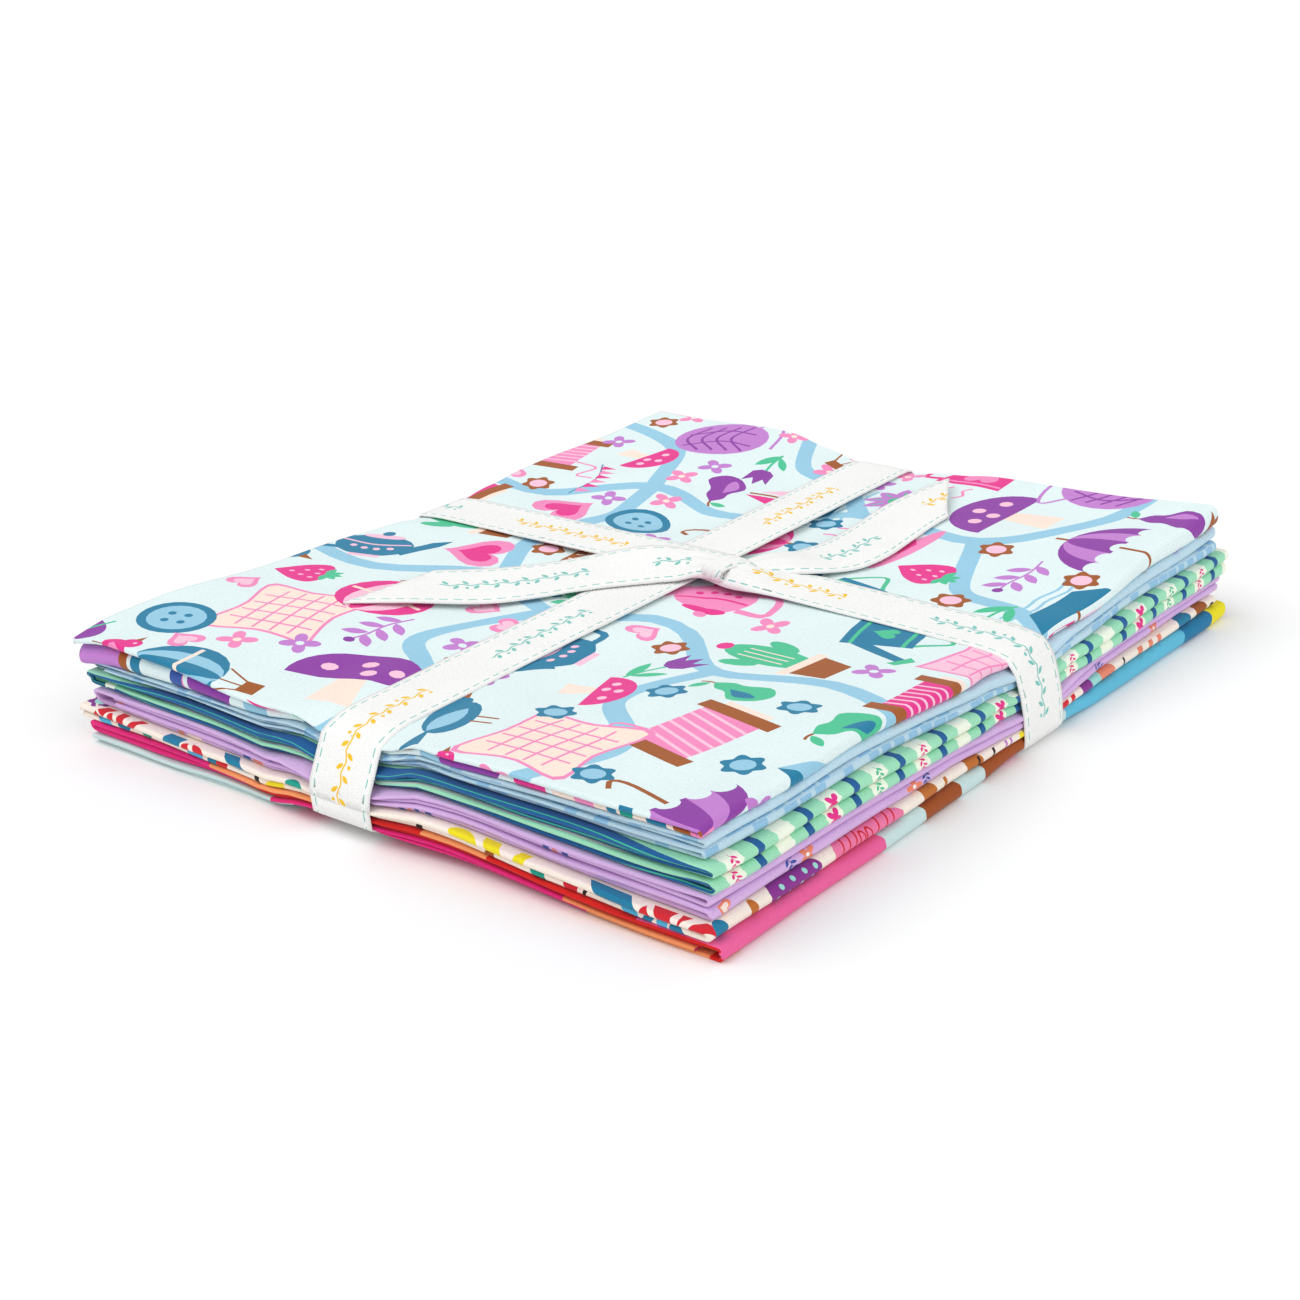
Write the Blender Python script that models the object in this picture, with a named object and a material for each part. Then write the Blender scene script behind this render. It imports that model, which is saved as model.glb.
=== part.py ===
"""A stack of six folded quilting cottons, tied crosswise with one printed white ribbon.

Sizes are in millimetres and become metres where a mesh is made. Each cotton is a cut length folded to
9 x 11 inches. Its solid is one back-and-forth section of thick layers, lofted from front to back, and
each thick layer stands for the four plies of cloth that are folded together there. The ribbon presses
the stack down along its two bands, so every layer follows one shared pair of surfaces: the underside,
which is lifted over the ribbon, and the layers' levels, which thin out under it.

Frame: X runs across the rolled folds, Y along them, Z up. The stack's box stands centred on the origin.
"""

import math
from collections import namedtuple

import bmesh
import bpy
from mathutils import Matrix, Vector

MM = 0.001

# Folded size of every cotton, and the spaces between layers
FOLD_WIDTH = 229.0
FOLD_DEPTH = 279.0
GAP = 0.3
ROUNDING = 0.9
END_SHARE = 0.5

# The ribbon, its two bands and its knot
RIBBON_WIDTH = 22.0
RIBBON_THICKNESS = 1.0
RIBBON_CLEARANCE = 0.35
TIE_X_FRONT = -6.5
TIE_X_BACK = -9.5
TIE_Y_LEFT = 13.5
TIE_Y_RIGHT = 18.5
CENTRE_X = (TIE_X_FRONT + TIE_X_BACK) / 2
CENTRE_Y = (TIE_Y_LEFT + TIE_Y_RIGHT) / 2
KNOT_AT = (14.0, 8.8)
KNOT_SIZE = (26.0, 14.0, 6.8)
KNOT_TURN = -17.0
KNOT_WRAPS = 3

# How the bands press: a flat strip under the ribbon, then a slope on either side of it. Each slope has
# two lengths: at the front and the back, or at the left and the right.
FLAT_STRIP = 13.0
FALL_LEFT = (60.0, 52.0)
FALL_RIGHT = (70.0, 72.0)
FALL_FRONT = (76.0, 105.0)
FALL_BACK = (84.0, 115.0)
PRESS_MIDDLE = 0.92
EDGE_REACH = 60.0
CENTRE_SINK = 0.35
DRAW_REACH = 30.0

# How far the underside is lifted over the ribbon below it
LIFT_FALL = 20.0
LIFT_CENTRE = 2.7
LIFT_FRONT = 4.0
LIFT_BACK = 2.6
LIFT_LEFT = 2.0
LIFT_RIGHT = 1.6
LIFT_CURL = 70.0

# Places where the lofts have a section and the layers have a bend: (measured from the band, distance)
STATIONS_X = [(False, -97.0), (True, -62.0), (True, -32.0), (True, -13.0)]
STATIONS_X += [(True, 13.0), (True, 24.0), (True, 50.0), (False, 97.0)]
STATIONS_Y = [(False, -130.0), (False, -84.0), (True, -50.0), (True, -28.0), (True, -13.0)]
STATIONS_Y += [(True, 13.0), (True, 32.0), (True, 62.0), (False, 130.0)]

# One row for each cotton, top to bottom: the number of thick layers, the side of the big outer roll
# (-1 left, 1 right, 0 none: one roll at the right and an open left end), its thickness at the four
# corners (left front, right front, right back, left back) and under the ribbon at its four ends (left,
# front, right, back), the four limits of the folded piece, and how far the ribbon draws its edges in.
Cotton = namedtuple("Cotton", "name layers roll corners tied x_low x_high y_low y_high drawn_in colour")
COTTONS = [
    Cotton(
        "cotton_1_ice_blue", 2, 0, (9.6, 2.9, 7.4, 5.6), (4.2, 2.6, 2.6, 3.2),
        -113.5, 113.0, -140.5, 139.0, 6.0, (0.80, 0.92, 0.93),
    ),
    Cotton(
        "cotton_2_pale_blue", 4, -1, (4.6, 6.4, 8.4, 5.8), (4.6, 4.6, 5.2, 5.2),
        -110.5, 112.5, -138.5, 140.0, 4.0, (0.62, 0.80, 0.90),
    ),
    Cotton(
        "cotton_3_mint_stripe", 4, -1, (5.6, 8.0, 8.2, 6.4), (5.0, 4.6, 6.6, 5.2),
        -112.5, 115.5, -139.0, 144.0, 2.0, (0.62, 0.88, 0.76),
    ),
    Cotton(
        "cotton_4_lilac", 4, -1, (5.4, 7.4, 5.0, 5.8), (5.0, 4.6, 4.7, 4.8),
        -110.5, 113.5, -138.0, 142.0, 0.8, (0.80, 0.66, 0.86),
    ),
    Cotton(
        "cotton_5_cream", 2, 0, (4.4, 4.2, 2.8, 4.8), (2.9, 2.6, 2.6, 2.8),
        -115.5, 115.0, -139.5, 137.5, 0.8, (0.95, 0.90, 0.80),
    ),
    Cotton(
        "cotton_6_colour_block", 4, 1, (5.6, 4.6, 5.2, 5.6), (4.7, 4.6, 4.6, 4.9),
        -114.0, 117.0, -138.5, 141.0, 2.0, (0.88, 0.20, 0.45),
    ),
]

# The least total thickness by number of layers, and the most that one thick layer may have
LEAST = {2: 2.6, 4: 4.6}
MOST_LAYER = {2: 2.4, 4: 1.6}

# How far each thick layer ends short of its cotton's front and back limits
RAGGED = (0.0, 1.4, 0.7, 2.1)

# The two free tails, from the knot to the cut: place on the cloth, width, thickness, and how far the
# left and right edges (seen along the tail) ride above whatever lies under them
TailPoint = namedtuple("TailPoint", "x y width thickness left_rise right_rise")
LEFT_TAIL = [
    TailPoint(13.0, 7.6, 8.0, 3.0, 1.6, 1.6),
    TailPoint(6.0, 8.6, 10.5, 2.2, 1.6, 2.2),
    TailPoint(-3.0, 6.4, 17.5, 1.3, 0.8, 3.0),
    TailPoint(-13.0, -0.8, 21.0, 1.0, 0.6, 3.4),
    TailPoint(-26.5, -16.0, 22.0, 1.0, 0.6, 3.4),
    TailPoint(-42.0, -36.5, 22.0, 1.0, 0.5, 3.0),
    TailPoint(-54.0, -49.5, 22.0, 1.0, 0.5, 2.4),
    TailPoint(-65.0, -60.5, 22.0, 1.0, 0.5, 1.6),
]
RIGHT_TAIL = [
    TailPoint(14.0, 13.0, 8.0, 3.0, 0.8, 0.8),
    TailPoint(17.0, 20.5, 13.0, 2.0, 1.2, 0.9),
    TailPoint(22.0, 28.5, 18.0, 1.3, 2.0, 0.7),
    TailPoint(27.0, 40.0, 21.5, 1.0, 2.6, 0.6),
    TailPoint(29.3, 55.0, 22.0, 1.0, 2.6, 0.6),
    TailPoint(28.4, 75.0, 22.0, 1.0, 2.4, 0.6),
    TailPoint(28.0, 93.0, 22.0, 1.0, 2.4, 0.8),
    TailPoint(29.8, 110.0, 22.0, 1.0, 2.4, 1.4),
]
TAIL_STEPS = 14
CUT_LENGTH = 13.0
CUT_STEPS = 3


def smooth(share):
    """A rise from 0 to 1 with level ends."""
    share = min(max(share, 0.0), 1.0)
    return share * share * (3.0 - 2.0 * share)


def along_x(x):
    """A place in X as a share of the folded width, from 0 at the left edge to 1 at the right one."""
    return min(max(x / FOLD_WIDTH + 0.5, 0.0), 1.0)


def along_y(y):
    """A place in Y as a share of the folded depth, from 0 at the front edge to 1 at the back one."""
    return min(max(y / FOLD_DEPTH + 0.5, 0.0), 1.0)


def between(ends, share):
    """The value at a share of the way between two ends."""
    return ends[0] + (ends[1] - ends[0]) * share


def tie_x(y):
    """Centre in X of the band that runs from front to back."""
    return between((TIE_X_FRONT, TIE_X_BACK), along_y(y))


def tie_y(x):
    """Centre in Y of the band that runs from left to right."""
    return between((TIE_Y_LEFT, TIE_Y_RIGHT), along_x(x))


def beside(distance, fall):
    """1 within the flat strip under a band, falling quickly and then slowly to 0 beside it."""
    share = min(max((abs(distance) - FLAT_STRIP) / fall, 0.0), 1.0)
    return (1.0 - share) ** 2


def at_edge(distance, half):
    """0 in the middle of the stack, rising to 1 at its edge over the last stretch."""
    return smooth((abs(distance) - half + EDGE_REACH) / EDGE_REACH)


def presses(x, y):
    """How firmly the front-to-back and the left-to-right band press the stack at a place, 0 to 1."""
    from_x = x - tie_x(y)
    from_y = y - tie_y(x)
    across = between(FALL_LEFT if from_x < 0 else FALL_RIGHT, along_y(y))
    band_y = beside(from_x, across) * between((PRESS_MIDDLE, 1.0), at_edge(y, FOLD_DEPTH / 2))
    along = between(FALL_FRONT if from_y < 0 else FALL_BACK, along_x(x))
    band_x = beside(from_y, along) * between((PRESS_MIDDLE, 1.0), at_edge(x, FOLD_WIDTH / 2))
    return band_y, band_x


def lift(x, y):
    """Height of the stack's underside: zero on the table, raised over the ribbon that runs below."""
    from_x = x - tie_x(y)
    from_y = y - tie_y(x)
    share_y = smooth(abs(from_y) / (FOLD_DEPTH / 2))
    line_y = between((LIFT_CENTRE, LIFT_FRONT if from_y < 0 else LIFT_BACK), share_y)
    share_x = smooth(abs(from_x) / (FOLD_WIDTH / 2))
    line_x = between((LIFT_CENTRE, LIFT_LEFT if from_x < 0 else LIFT_RIGHT), share_x)
    curl = LIFT_CURL * at_edge(y, FOLD_DEPTH / 2) if from_x > 0 and y < 0 else 0.0
    over_y = line_y * (1.0 - smooth((abs(from_x) - FLAT_STRIP) / (LIFT_FALL + curl)))
    over_x = line_x * (1.0 - smooth((abs(from_y) - FLAT_STRIP) / LIFT_FALL))
    return max(over_y, over_x)


def cotton_thickness(cotton, x, y):
    """Thickness of one folded cotton at a place, from its corners and from its values at the ribbon."""
    u, v = along_x(x), along_y(y)
    left_front, right_front, right_back, left_back = cotton.corners
    corner = between((between((left_front, right_front), u), between((left_back, right_back), u)), v)
    inside = (1.0 - (2.0 * u - 1.0) ** 2) * (1.0 - (2.0 * v - 1.0) ** 2)
    least = LEAST[cotton.layers]
    free = least + (corner - least) * (1.0 - CENTRE_SINK * inside)
    left, front, right, back = cotton.tied
    band_y, band_x = presses(x, y)
    if band_y + band_x == 0.0:
        return free
    tied = (between((front, back), v) * band_y + between((left, right), u) * band_x) / (band_y + band_x)
    return between((free, tied), 1.0 - (1.0 - band_y) * (1.0 - band_x))


def layer_levels(index, x, y):
    """Middle height and thickness of each thick layer of one cotton at a place, top layer first."""
    base = lift(x, y)
    for below in COTTONS[index + 1:]:
        base += cotton_thickness(below, x, y) + GAP
    count = COTTONS[index].layers
    total = cotton_thickness(COTTONS[index], x, y)
    thickness = min((total - (count - 1) * GAP) / count, MOST_LAYER[count])
    step = (total - thickness) / (count - 1)
    return [(base + thickness / 2 + (count - 1 - k) * step, thickness) for k in range(count)]


def roll_points(index, x_end, side, upper, lower, place_y, steps, rising):
    """Points of the rounded fold that joins two layers at one end of a section.

    Each point is (x, y, z, inward x, inward z, thickness). A rising roll is followed from its lower
    layer to its upper one.
    """
    y = place_y(x_end)
    levels = layer_levels(index, x_end, y)
    radius = (levels[upper][0] - levels[lower][0]) / 2
    height = (levels[upper][0] + levels[lower][0]) / 2
    thickness = levels[upper][1]
    centre = x_end - side * (radius + thickness / 2)
    points = []
    for step in range(steps + 1):
        angle = math.pi * (step / steps - 0.5)
        if not rising:
            angle = -angle
        out_x = side * math.cos(angle)
        out_z = math.sin(angle)
        points.append((centre + radius * out_x, y, height + radius * out_z, -out_x, -out_z, thickness))
    return points


def run_points(index, layer, places, inward, place_y):
    """Points of a flat layer at the given places in X, with the side that faces its fold's inside."""
    points = []
    for x in places:
        y = place_y(x)
        height, thickness = layer_levels(index, x, y)[layer]
        points.append((x, y, height, 0.0, inward, thickness))
    return points


def raw_end(index, layer, x, toward, inward, place_y):
    """The two points of a cut or hidden end of a layer, thinned at its tip."""
    tip, body = run_points(index, layer, [x, x + toward * ROUNDING], inward, place_y)
    return [tip[:5] + (tip[5] * END_SHARE,), body]


def section(index, place_y):
    """The path of one cotton's section along a line across the stack, from one raw end to the other."""
    cotton = COTTONS[index]
    middle = place_y(0.0)
    drawn = cotton.drawn_in * drawing(middle - CENTRE_Y)
    low = cotton.x_low + drawn
    high = cotton.x_high - drawn
    bends = [tie_x(middle) + x if banded else x for banded, x in STATIONS_X]
    side = -cotton.roll if cotton.roll else 1
    twin = high if side > 0 else low
    wide = low if side > 0 else high
    outward = bends if side > 0 else bends[::-1]
    back = outward[::-1]
    if cotton.layers == 2:
        path = raw_end(index, 1, low + 2.5, 1, 1.0, place_y)
        path += run_points(index, 1, outward, 1.0, place_y)
        path += roll_points(index, twin, side, 0, 1, place_y, 6, True)
        path += run_points(index, 0, back, -1.0, place_y)
        path += raw_end(index, 0, low, 1, -1.0, place_y)[::-1]
        return path
    levels = layer_levels(index, wide, place_y(wide))
    inner = wide + side * (levels[0][0] - levels[3][0] + 3.0)
    path = raw_end(index, 1, inner, side, 1.0, place_y)
    path += run_points(index, 1, outward, 1.0, place_y)
    path += roll_points(index, twin, side, 0, 1, place_y, 4, True)
    path += run_points(index, 0, back, -1.0, place_y)
    path += roll_points(index, wide, -side, 0, 3, place_y, 6, False)
    path += run_points(index, 3, outward, 1.0, place_y)
    path += roll_points(index, twin, side, 2, 3, place_y, 4, True)
    path += run_points(index, 2, back, -1.0, place_y)
    path += raw_end(index, 2, inner + side * 1.5, side, -1.0, place_y)[::-1]
    return path


def drawing(distance):
    """How far a band draws the stack's edges in at a distance from its centre, as a share."""
    return 1.0 - smooth((abs(distance) - FLAT_STRIP) / DRAW_REACH)


def layer_shares(index):
    """How far each point of a section ends short of the cotton's front and back limits."""
    cotton = COTTONS[index]
    runs = [1, 0] if cotton.layers == 2 else [1, 0, 3, 2]
    rolls = [7] if cotton.layers == 2 else [5, 7, 5]
    flats = len(STATIONS_X)
    shares = []
    for k, layer in enumerate(runs):
        ends = 2 if k in (0, len(runs) - 1) else 0
        shares += [RAGGED[layer]] * (flats + ends)
        if k < len(rolls):
            ends = (RAGGED[layer], RAGGED[runs[k + 1]])
            shares += [between(ends, j / (rolls[k] - 1)) for j in range(rolls[k])]
    return shares


def station_path(index, kind, value, short):
    """The section of one cotton at one station, with every point's own place in Y."""
    cotton = COTTONS[index]
    if kind == "banded":
        return section(index, lambda x: tie_y(x) + value)
    if kind == "place":
        return section(index, lambda x: value)
    edge = -FOLD_DEPTH / 2 if kind == "front" else FOLD_DEPTH / 2
    points = []
    for (x, _, z, in_x, in_z, thickness), ragged in zip(section(index, lambda x: edge), short):
        inset = ragged + cotton.drawn_in * drawing(x - tie_x(edge)) + value
        y = cotton.y_low + inset if kind == "front" else cotton.y_high - inset
        if value == 0.0:
            thickness *= END_SHARE
        points.append((x, y, z, in_x, in_z, thickness))
    return points


def halves(a, b, c, d):
    """A four-cornered face as two triangles, split the same way in every layer so that none cross."""
    if b.co.x > a.co.x:
        return [(a, b, c), (a, c, d)]
    return [(a, b, d), (b, c, d)]


def make_cotton(index, collection):
    """One folded cotton: its section lofted from the front edge to the back one, as a closed solid."""
    cotton = COTTONS[index]
    short = layer_shares(index)
    stations = [("front", 0.0), ("front", ROUNDING)]
    stations += [("banded" if banded else "place", y) for banded, y in STATIONS_Y]
    stations += [("back", ROUNDING), ("back", 0.0)]
    mesh = bmesh.new()
    inner_rows = []
    outer_rows = []
    for kind, value in stations:
        inner = []
        outer = []
        for x, y, z, in_x, in_z, thickness in station_path(index, kind, value, short):
            half = thickness / 2
            inner.append(mesh.verts.new(Vector((x + in_x * half, y, z + in_z * half)) * MM))
            outer.append(mesh.verts.new(Vector((x - in_x * half, y, z - in_z * half)) * MM))
        inner_rows.append(inner)
        outer_rows.append(outer)
    count = len(inner_rows[0])
    for rows, flip in ((inner_rows, False), (outer_rows, True)):
        for first, second in zip(rows, rows[1:]):
            for i in range(count - 1):
                for corners in halves(first[i], first[i + 1], second[i + 1], second[i]):
                    mesh.faces.new(corners[::-1] if flip else corners)
    for end in (0, count - 1):
        for j in range(len(stations) - 1):
            mesh.faces.new([inner_rows[j][end], inner_rows[j + 1][end], outer_rows[j + 1][end], outer_rows[j][end]])
    for row in (0, len(stations) - 1):
        for i in range(count - 1):
            mesh.faces.new([inner_rows[row][i], outer_rows[row][i], outer_rows[row][i + 1], inner_rows[row][i + 1]])
    bmesh.ops.recalc_face_normals(mesh, faces=mesh.faces)
    return add_object(mesh, cotton.name, cotton.colour, 0.85, collection)


def add_object(mesh, name, colour, roughness, collection, smooth_angle=40.0):
    """Turns a bmesh into a named object with its own plain material."""
    data = bpy.data.meshes.new(name)
    mesh.to_mesh(data)
    mesh.free()
    data.shade_smooth()
    data.set_sharp_from_angle(angle=math.radians(smooth_angle))
    material = bpy.data.materials.new(name)
    material.use_nodes = True
    shader = material.node_tree.nodes["Principled BSDF"]
    shader.inputs["Base Color"].default_value = (*colour, 1.0)
    shader.inputs["Roughness"].default_value = roughness
    data.materials.append(material)
    item = bpy.data.objects.new(name, data)
    collection.objects.link(item)
    return item


def convex_outline(points):
    """The convex outline of points in a plane, counter-clockwise."""
    points = sorted(set(points))

    def half(ordered):
        chain = []
        for p in ordered:
            while len(chain) > 1:
                (ax, ay), (bx, by) = chain[-2], chain[-1]
                if (bx - ax) * (p[1] - ay) - (by - ay) * (p[0] - ax) > 0:
                    break
                chain.pop()
            chain.append(p)
        return chain[:-1]

    return half(points) + half(points[::-1])


def apart(outline, least):
    """An outline without the points that almost coincide with the one before."""
    kept = [outline[0]]
    for point in outline[1:]:
        if math.dist(point, kept[-1]) > least:
            kept.append(point)
    if math.dist(kept[0], kept[-1]) < least:
        kept.pop()
    return kept


def stack_points(cottons, along, across, middle_of):
    """The stack's corner points within a band's flat strip, as (place along the band, height)."""
    found = []
    for item in cottons:
        for vertex in item.data.vertices:
            place = vertex.co / MM
            if abs(place[across] - middle_of(place[along])) < FLAT_STRIP + 1.0:
                found.append((place[along], place[2]))
    return found


def offset_outline(outline, distance):
    """A closed outline moved outward by a distance, corner by corner."""
    moved = []
    count = len(outline)
    for i, (a, b) in enumerate(outline):
        before = Vector((a - outline[i - 1][0], b - outline[i - 1][1])).normalized()
        after = Vector((outline[(i + 1) % count][0] - a, outline[(i + 1) % count][1] - b)).normalized()
        normal = Vector((before.y + after.y, -before.x - after.x)).normalized()
        stretch = distance / max(normal.dot(Vector((before.y, -before.x))), 0.5)
        moved.append((a + normal.x * stretch, b + normal.y * stretch))
    return moved


def make_band(name, outline, along, centre_of, collection):
    """A closed loop of ribbon round the stack, from its inner outline and its centre across."""
    outer = offset_outline(outline, RIBBON_THICKNESS)
    mesh = bmesh.new()
    loops = []
    for inner_point, outer_point in zip(outline, outer):
        centre = centre_of(inner_point[0])
        ring = []
        for (place, height), shift in (
            (inner_point, -0.5),
            (inner_point, 0.5),
            (outer_point, 0.5),
            (outer_point, -0.5),
        ):
            across = centre + shift * RIBBON_WIDTH
            spot = (across, place, height) if along == 1 else (place, across, height)
            ring.append(mesh.verts.new(Vector(spot) * MM))
        loops.append(ring)
    for i, ring in enumerate(loops):
        following = loops[(i + 1) % len(loops)]
        for k in range(4):
            mesh.faces.new([ring[k], ring[(k + 1) % 4], following[(k + 1) % 4], following[k]])
    bmesh.ops.recalc_face_normals(mesh, faces=mesh.faces)
    return add_object(mesh, name, (0.93, 0.93, 0.92), 0.7, collection)


def outline_height(outline, place, top):
    """Height of an outline above or below a place along it."""
    heights = []
    for (a, za), (b, zb) in zip(outline, outline[1:] + outline[:1]):
        if min(a, b) <= place <= max(a, b) and abs(b - a) > 1e-9:
            heights.append(za + (zb - za) * (place - a) / (b - a))
    return max(heights) if top else min(heights)


def cloth_top(x, y):
    """Height of the top cotton's upper face."""
    height, thickness = layer_levels(0, x, y)[0]
    return height + thickness / 2


def spline(rows, share):
    """A smooth curve through the rows of a table, read at a share of its length, column by column."""
    last = len(rows) - 1
    place = min(max(share, 0.0), 1.0) * last
    k = min(int(place), last - 1)
    t = place - k
    before, first = rows[max(k - 1, 0)], rows[k]
    second, after = rows[k + 1], rows[min(k + 2, last)]
    return [
        0.5 * (2 * b + (c - a) * t + (2 * a - 5 * b + 4 * c - d) * t * t + (3 * b - a - 3 * c + d) * t ** 3)
        for a, b, c, d in zip(before, first, second, after)
    ]


def make_tail(name, rows, surface, collection):
    """A free tail of the ribbon: gathered at the knot, flat further out, its left edge cut longer."""
    mesh = bmesh.new()
    rings = []
    for step in range(TAIL_STEPS + 1):
        share = step / TAIL_STEPS
        x, y, width, thickness, left_rise, right_rise = spline(rows, share)
        ahead = spline(rows, min(share + 0.01, 1.0))
        behind = spline(rows, max(share - 0.01, 0.0))
        way = Vector((ahead[0] - behind[0], ahead[1] - behind[1])).normalized()
        left = Vector((-way.y, way.x))
        ring = []
        for side, rise in ((1, left_rise), (-1, right_rise)):
            slant = CUT_LENGTH * side * max(0.0, (step - TAIL_STEPS + CUT_STEPS) / CUT_STEPS)
            spot = Vector((x, y)) + left * side * width / 2 + way * slant
            under = max(surface(spot.x, spot.y), surface(*(Vector((x, y)) + left * side * width / 4)))
            ring.append((spot.x, spot.y, under + rise))
            ring.append((spot.x, spot.y, under + rise + thickness))
        order = [ring[0], ring[2], ring[3], ring[1]]
        rings.append([mesh.verts.new(Vector(spot) * MM) for spot in order])
    for first, second in zip(rings, rings[1:]):
        for k in range(4):
            a, b, c, d = first[k], first[(k + 1) % 4], second[(k + 1) % 4], second[k]
            for corners in [(a, b, d), (b, c, d)] if k == 2 else [(a, b, c), (a, c, d)]:
                mesh.faces.new(corners)
    mesh.faces.new(rings[0])
    mesh.faces.new(rings[-1][::-1])
    bmesh.ops.recalc_face_normals(mesh, faces=mesh.faces)
    return add_object(mesh, name, (0.93, 0.93, 0.92), 0.7, collection)


def make_knot(height, collection):
    """The knot: a squashed lump whose wraps stand up as ridges round it."""
    mesh = bmesh.new()
    bmesh.ops.create_uvsphere(mesh, u_segments=14, v_segments=18, radius=0.5)
    for vertex in mesh.verts:
        place = vertex.co.copy()
        along = place.z * 2.0
        ridge = 1.0 + 0.10 * math.cos(along * math.pi * KNOT_WRAPS)
        vertex.co = Vector((place.z * KNOT_SIZE[0], place.x * KNOT_SIZE[1] * ridge, place.y * KNOT_SIZE[2] * ridge))
    mesh.transform(Matrix.Rotation(math.radians(KNOT_TURN), 4, "Z"))
    mesh.transform(Matrix.Translation((KNOT_AT[0], KNOT_AT[1], height)))
    mesh.transform(Matrix.Scale(MM, 4))
    bmesh.ops.recalc_face_normals(mesh, faces=mesh.faces)
    return add_object(mesh, "knot_form", (0.93, 0.93, 0.92), 0.7, collection)


def make_ribbon(cottons, collection, cutters):
    """The tie: two bands round the stack that cross above and below it, a knot and two free tails."""
    outline_y = convex_outline(stack_points(cottons, 1, 0, tie_x))
    outline_y = offset_outline(apart(outline_y, 0.05), RIBBON_CLEARANCE)
    over = outline_height(outline_y, CENTRE_Y, True) + RIBBON_THICKNESS * 0.6 - RIBBON_CLEARANCE
    under = outline_height(outline_y, CENTRE_Y, False) - RIBBON_THICKNESS * 0.6 + RIBBON_CLEARANCE
    crossing = [(CENTRE_X + side * (RIBBON_WIDTH / 2 + 1.5), z) for side in (-1, 1) for z in (over, under)]
    outline_x = convex_outline(stack_points(cottons, 0, 1, tie_y) + crossing)
    outline_x = offset_outline(apart(outline_x, 0.05), RIBBON_CLEARANCE)
    band = make_band("ribbon_tie", outline_y, 1, tie_x, collection)
    second = make_band("second_band", outline_x, 0, tie_y, cutters)

    def surface(x, y):
        """Height of whatever a tail lies on: the top cotton, one band, or both where they cross."""
        height = cloth_top(x, y) + GAP
        if abs(x - tie_x(y)) < RIBBON_WIDTH / 2 + 1.0:
            height = max(height, outline_height(outline_y, y, True) + RIBBON_THICKNESS)
        if abs(y - tie_y(x)) < RIBBON_WIDTH / 2 + 1.0:
            height = max(height, outline_height(outline_x, x, True) + RIBBON_THICKNESS)
        return height

    knot = make_knot(surface(KNOT_AT[0], tie_y(KNOT_AT[0])) + KNOT_SIZE[2] * 0.34, cutters)
    tails = [
        make_tail("left_tail", LEFT_TAIL, surface, cutters),
        make_tail("right_tail", RIGHT_TAIL, surface, cutters),
    ]
    for form in [second, knot] + tails:
        form.hide_render = True
        form.display_type = "WIRE"
        union = band.modifiers.new("join_" + form.name, "BOOLEAN")
        union.operation = "UNION"
        union.solver = "EXACT"
        union.object = form
    return band


def centre(items):
    """Moves every mesh so that the whole box stands centred on the origin."""
    places = [vertex.co for item in items for vertex in item.data.vertices]
    low = [min(place[axis] for place in places) for axis in range(3)]
    high = [max(place[axis] for place in places) for axis in range(3)]
    shift = Matrix.Translation((-(low[0] + high[0]) / 2, -(low[1] + high[1]) / 2, -low[2]))
    for item in items:
        item.data.transform(shift)


def main():
    """Builds the stack and its tie, and centres their box on the origin."""
    for item in list(bpy.data.objects):
        bpy.data.objects.remove(item, do_unlink=True)
    collection = bpy.data.collections.new("fabric_bundle")
    cutters = bpy.data.collections.new("cutters")
    bpy.context.scene.collection.children.link(collection)
    bpy.context.scene.collection.children.link(cutters)
    cottons = [make_cotton(index, collection) for index in range(len(COTTONS))]
    make_ribbon(cottons, collection, cutters)
    centre(list(collection.objects) + list(cutters.objects))


main()
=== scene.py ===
"""Looks of a fabric bundle: six folded quilting cottons tied crosswise with one white printed ribbon.

Lengths are in millimetres and become metres where a mesh is made. Each cotton is one sheet of cloth,
described by two lengths along the cloth: U runs through the back-and-forth folds across the stack, V
through the four plies that are folded together in every thick layer. The print is laid out in U and V,
so it turns over each fold with the cloth. The stack's shape repeats the formulas of the solids, so
every sheet lies where its solid lies.

Frame: X runs across the rolled folds, Y along them, Z up.
"""

from __future__ import annotations

import logging
import math
from collections.abc import Callable, Sequence
from dataclasses import dataclass, field
from enum import Enum

import bpy
import numpy as np
from numpy.lib.stride_tricks import sliding_window_view
from mathutils import Matrix, Vector
from mathutils.geometry import convex_hull_2d, delaunay_2d_cdt

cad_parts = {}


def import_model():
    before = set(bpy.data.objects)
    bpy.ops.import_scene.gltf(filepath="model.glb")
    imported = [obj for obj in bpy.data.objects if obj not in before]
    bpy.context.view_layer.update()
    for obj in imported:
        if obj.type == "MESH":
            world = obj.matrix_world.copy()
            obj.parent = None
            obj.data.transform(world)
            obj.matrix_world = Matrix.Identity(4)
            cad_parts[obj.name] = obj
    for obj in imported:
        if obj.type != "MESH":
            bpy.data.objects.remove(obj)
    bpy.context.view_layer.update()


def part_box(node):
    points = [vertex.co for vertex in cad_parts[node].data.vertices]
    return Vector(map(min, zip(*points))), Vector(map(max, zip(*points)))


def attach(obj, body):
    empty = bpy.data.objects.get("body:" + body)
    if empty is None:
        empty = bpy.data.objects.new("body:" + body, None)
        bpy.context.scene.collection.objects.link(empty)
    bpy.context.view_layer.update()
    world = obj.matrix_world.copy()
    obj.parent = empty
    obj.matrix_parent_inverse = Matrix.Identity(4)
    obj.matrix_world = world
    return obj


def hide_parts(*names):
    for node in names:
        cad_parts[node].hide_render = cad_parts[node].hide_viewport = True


MM = 0.001
PRINT_NAME = "printed_colour"
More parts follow.
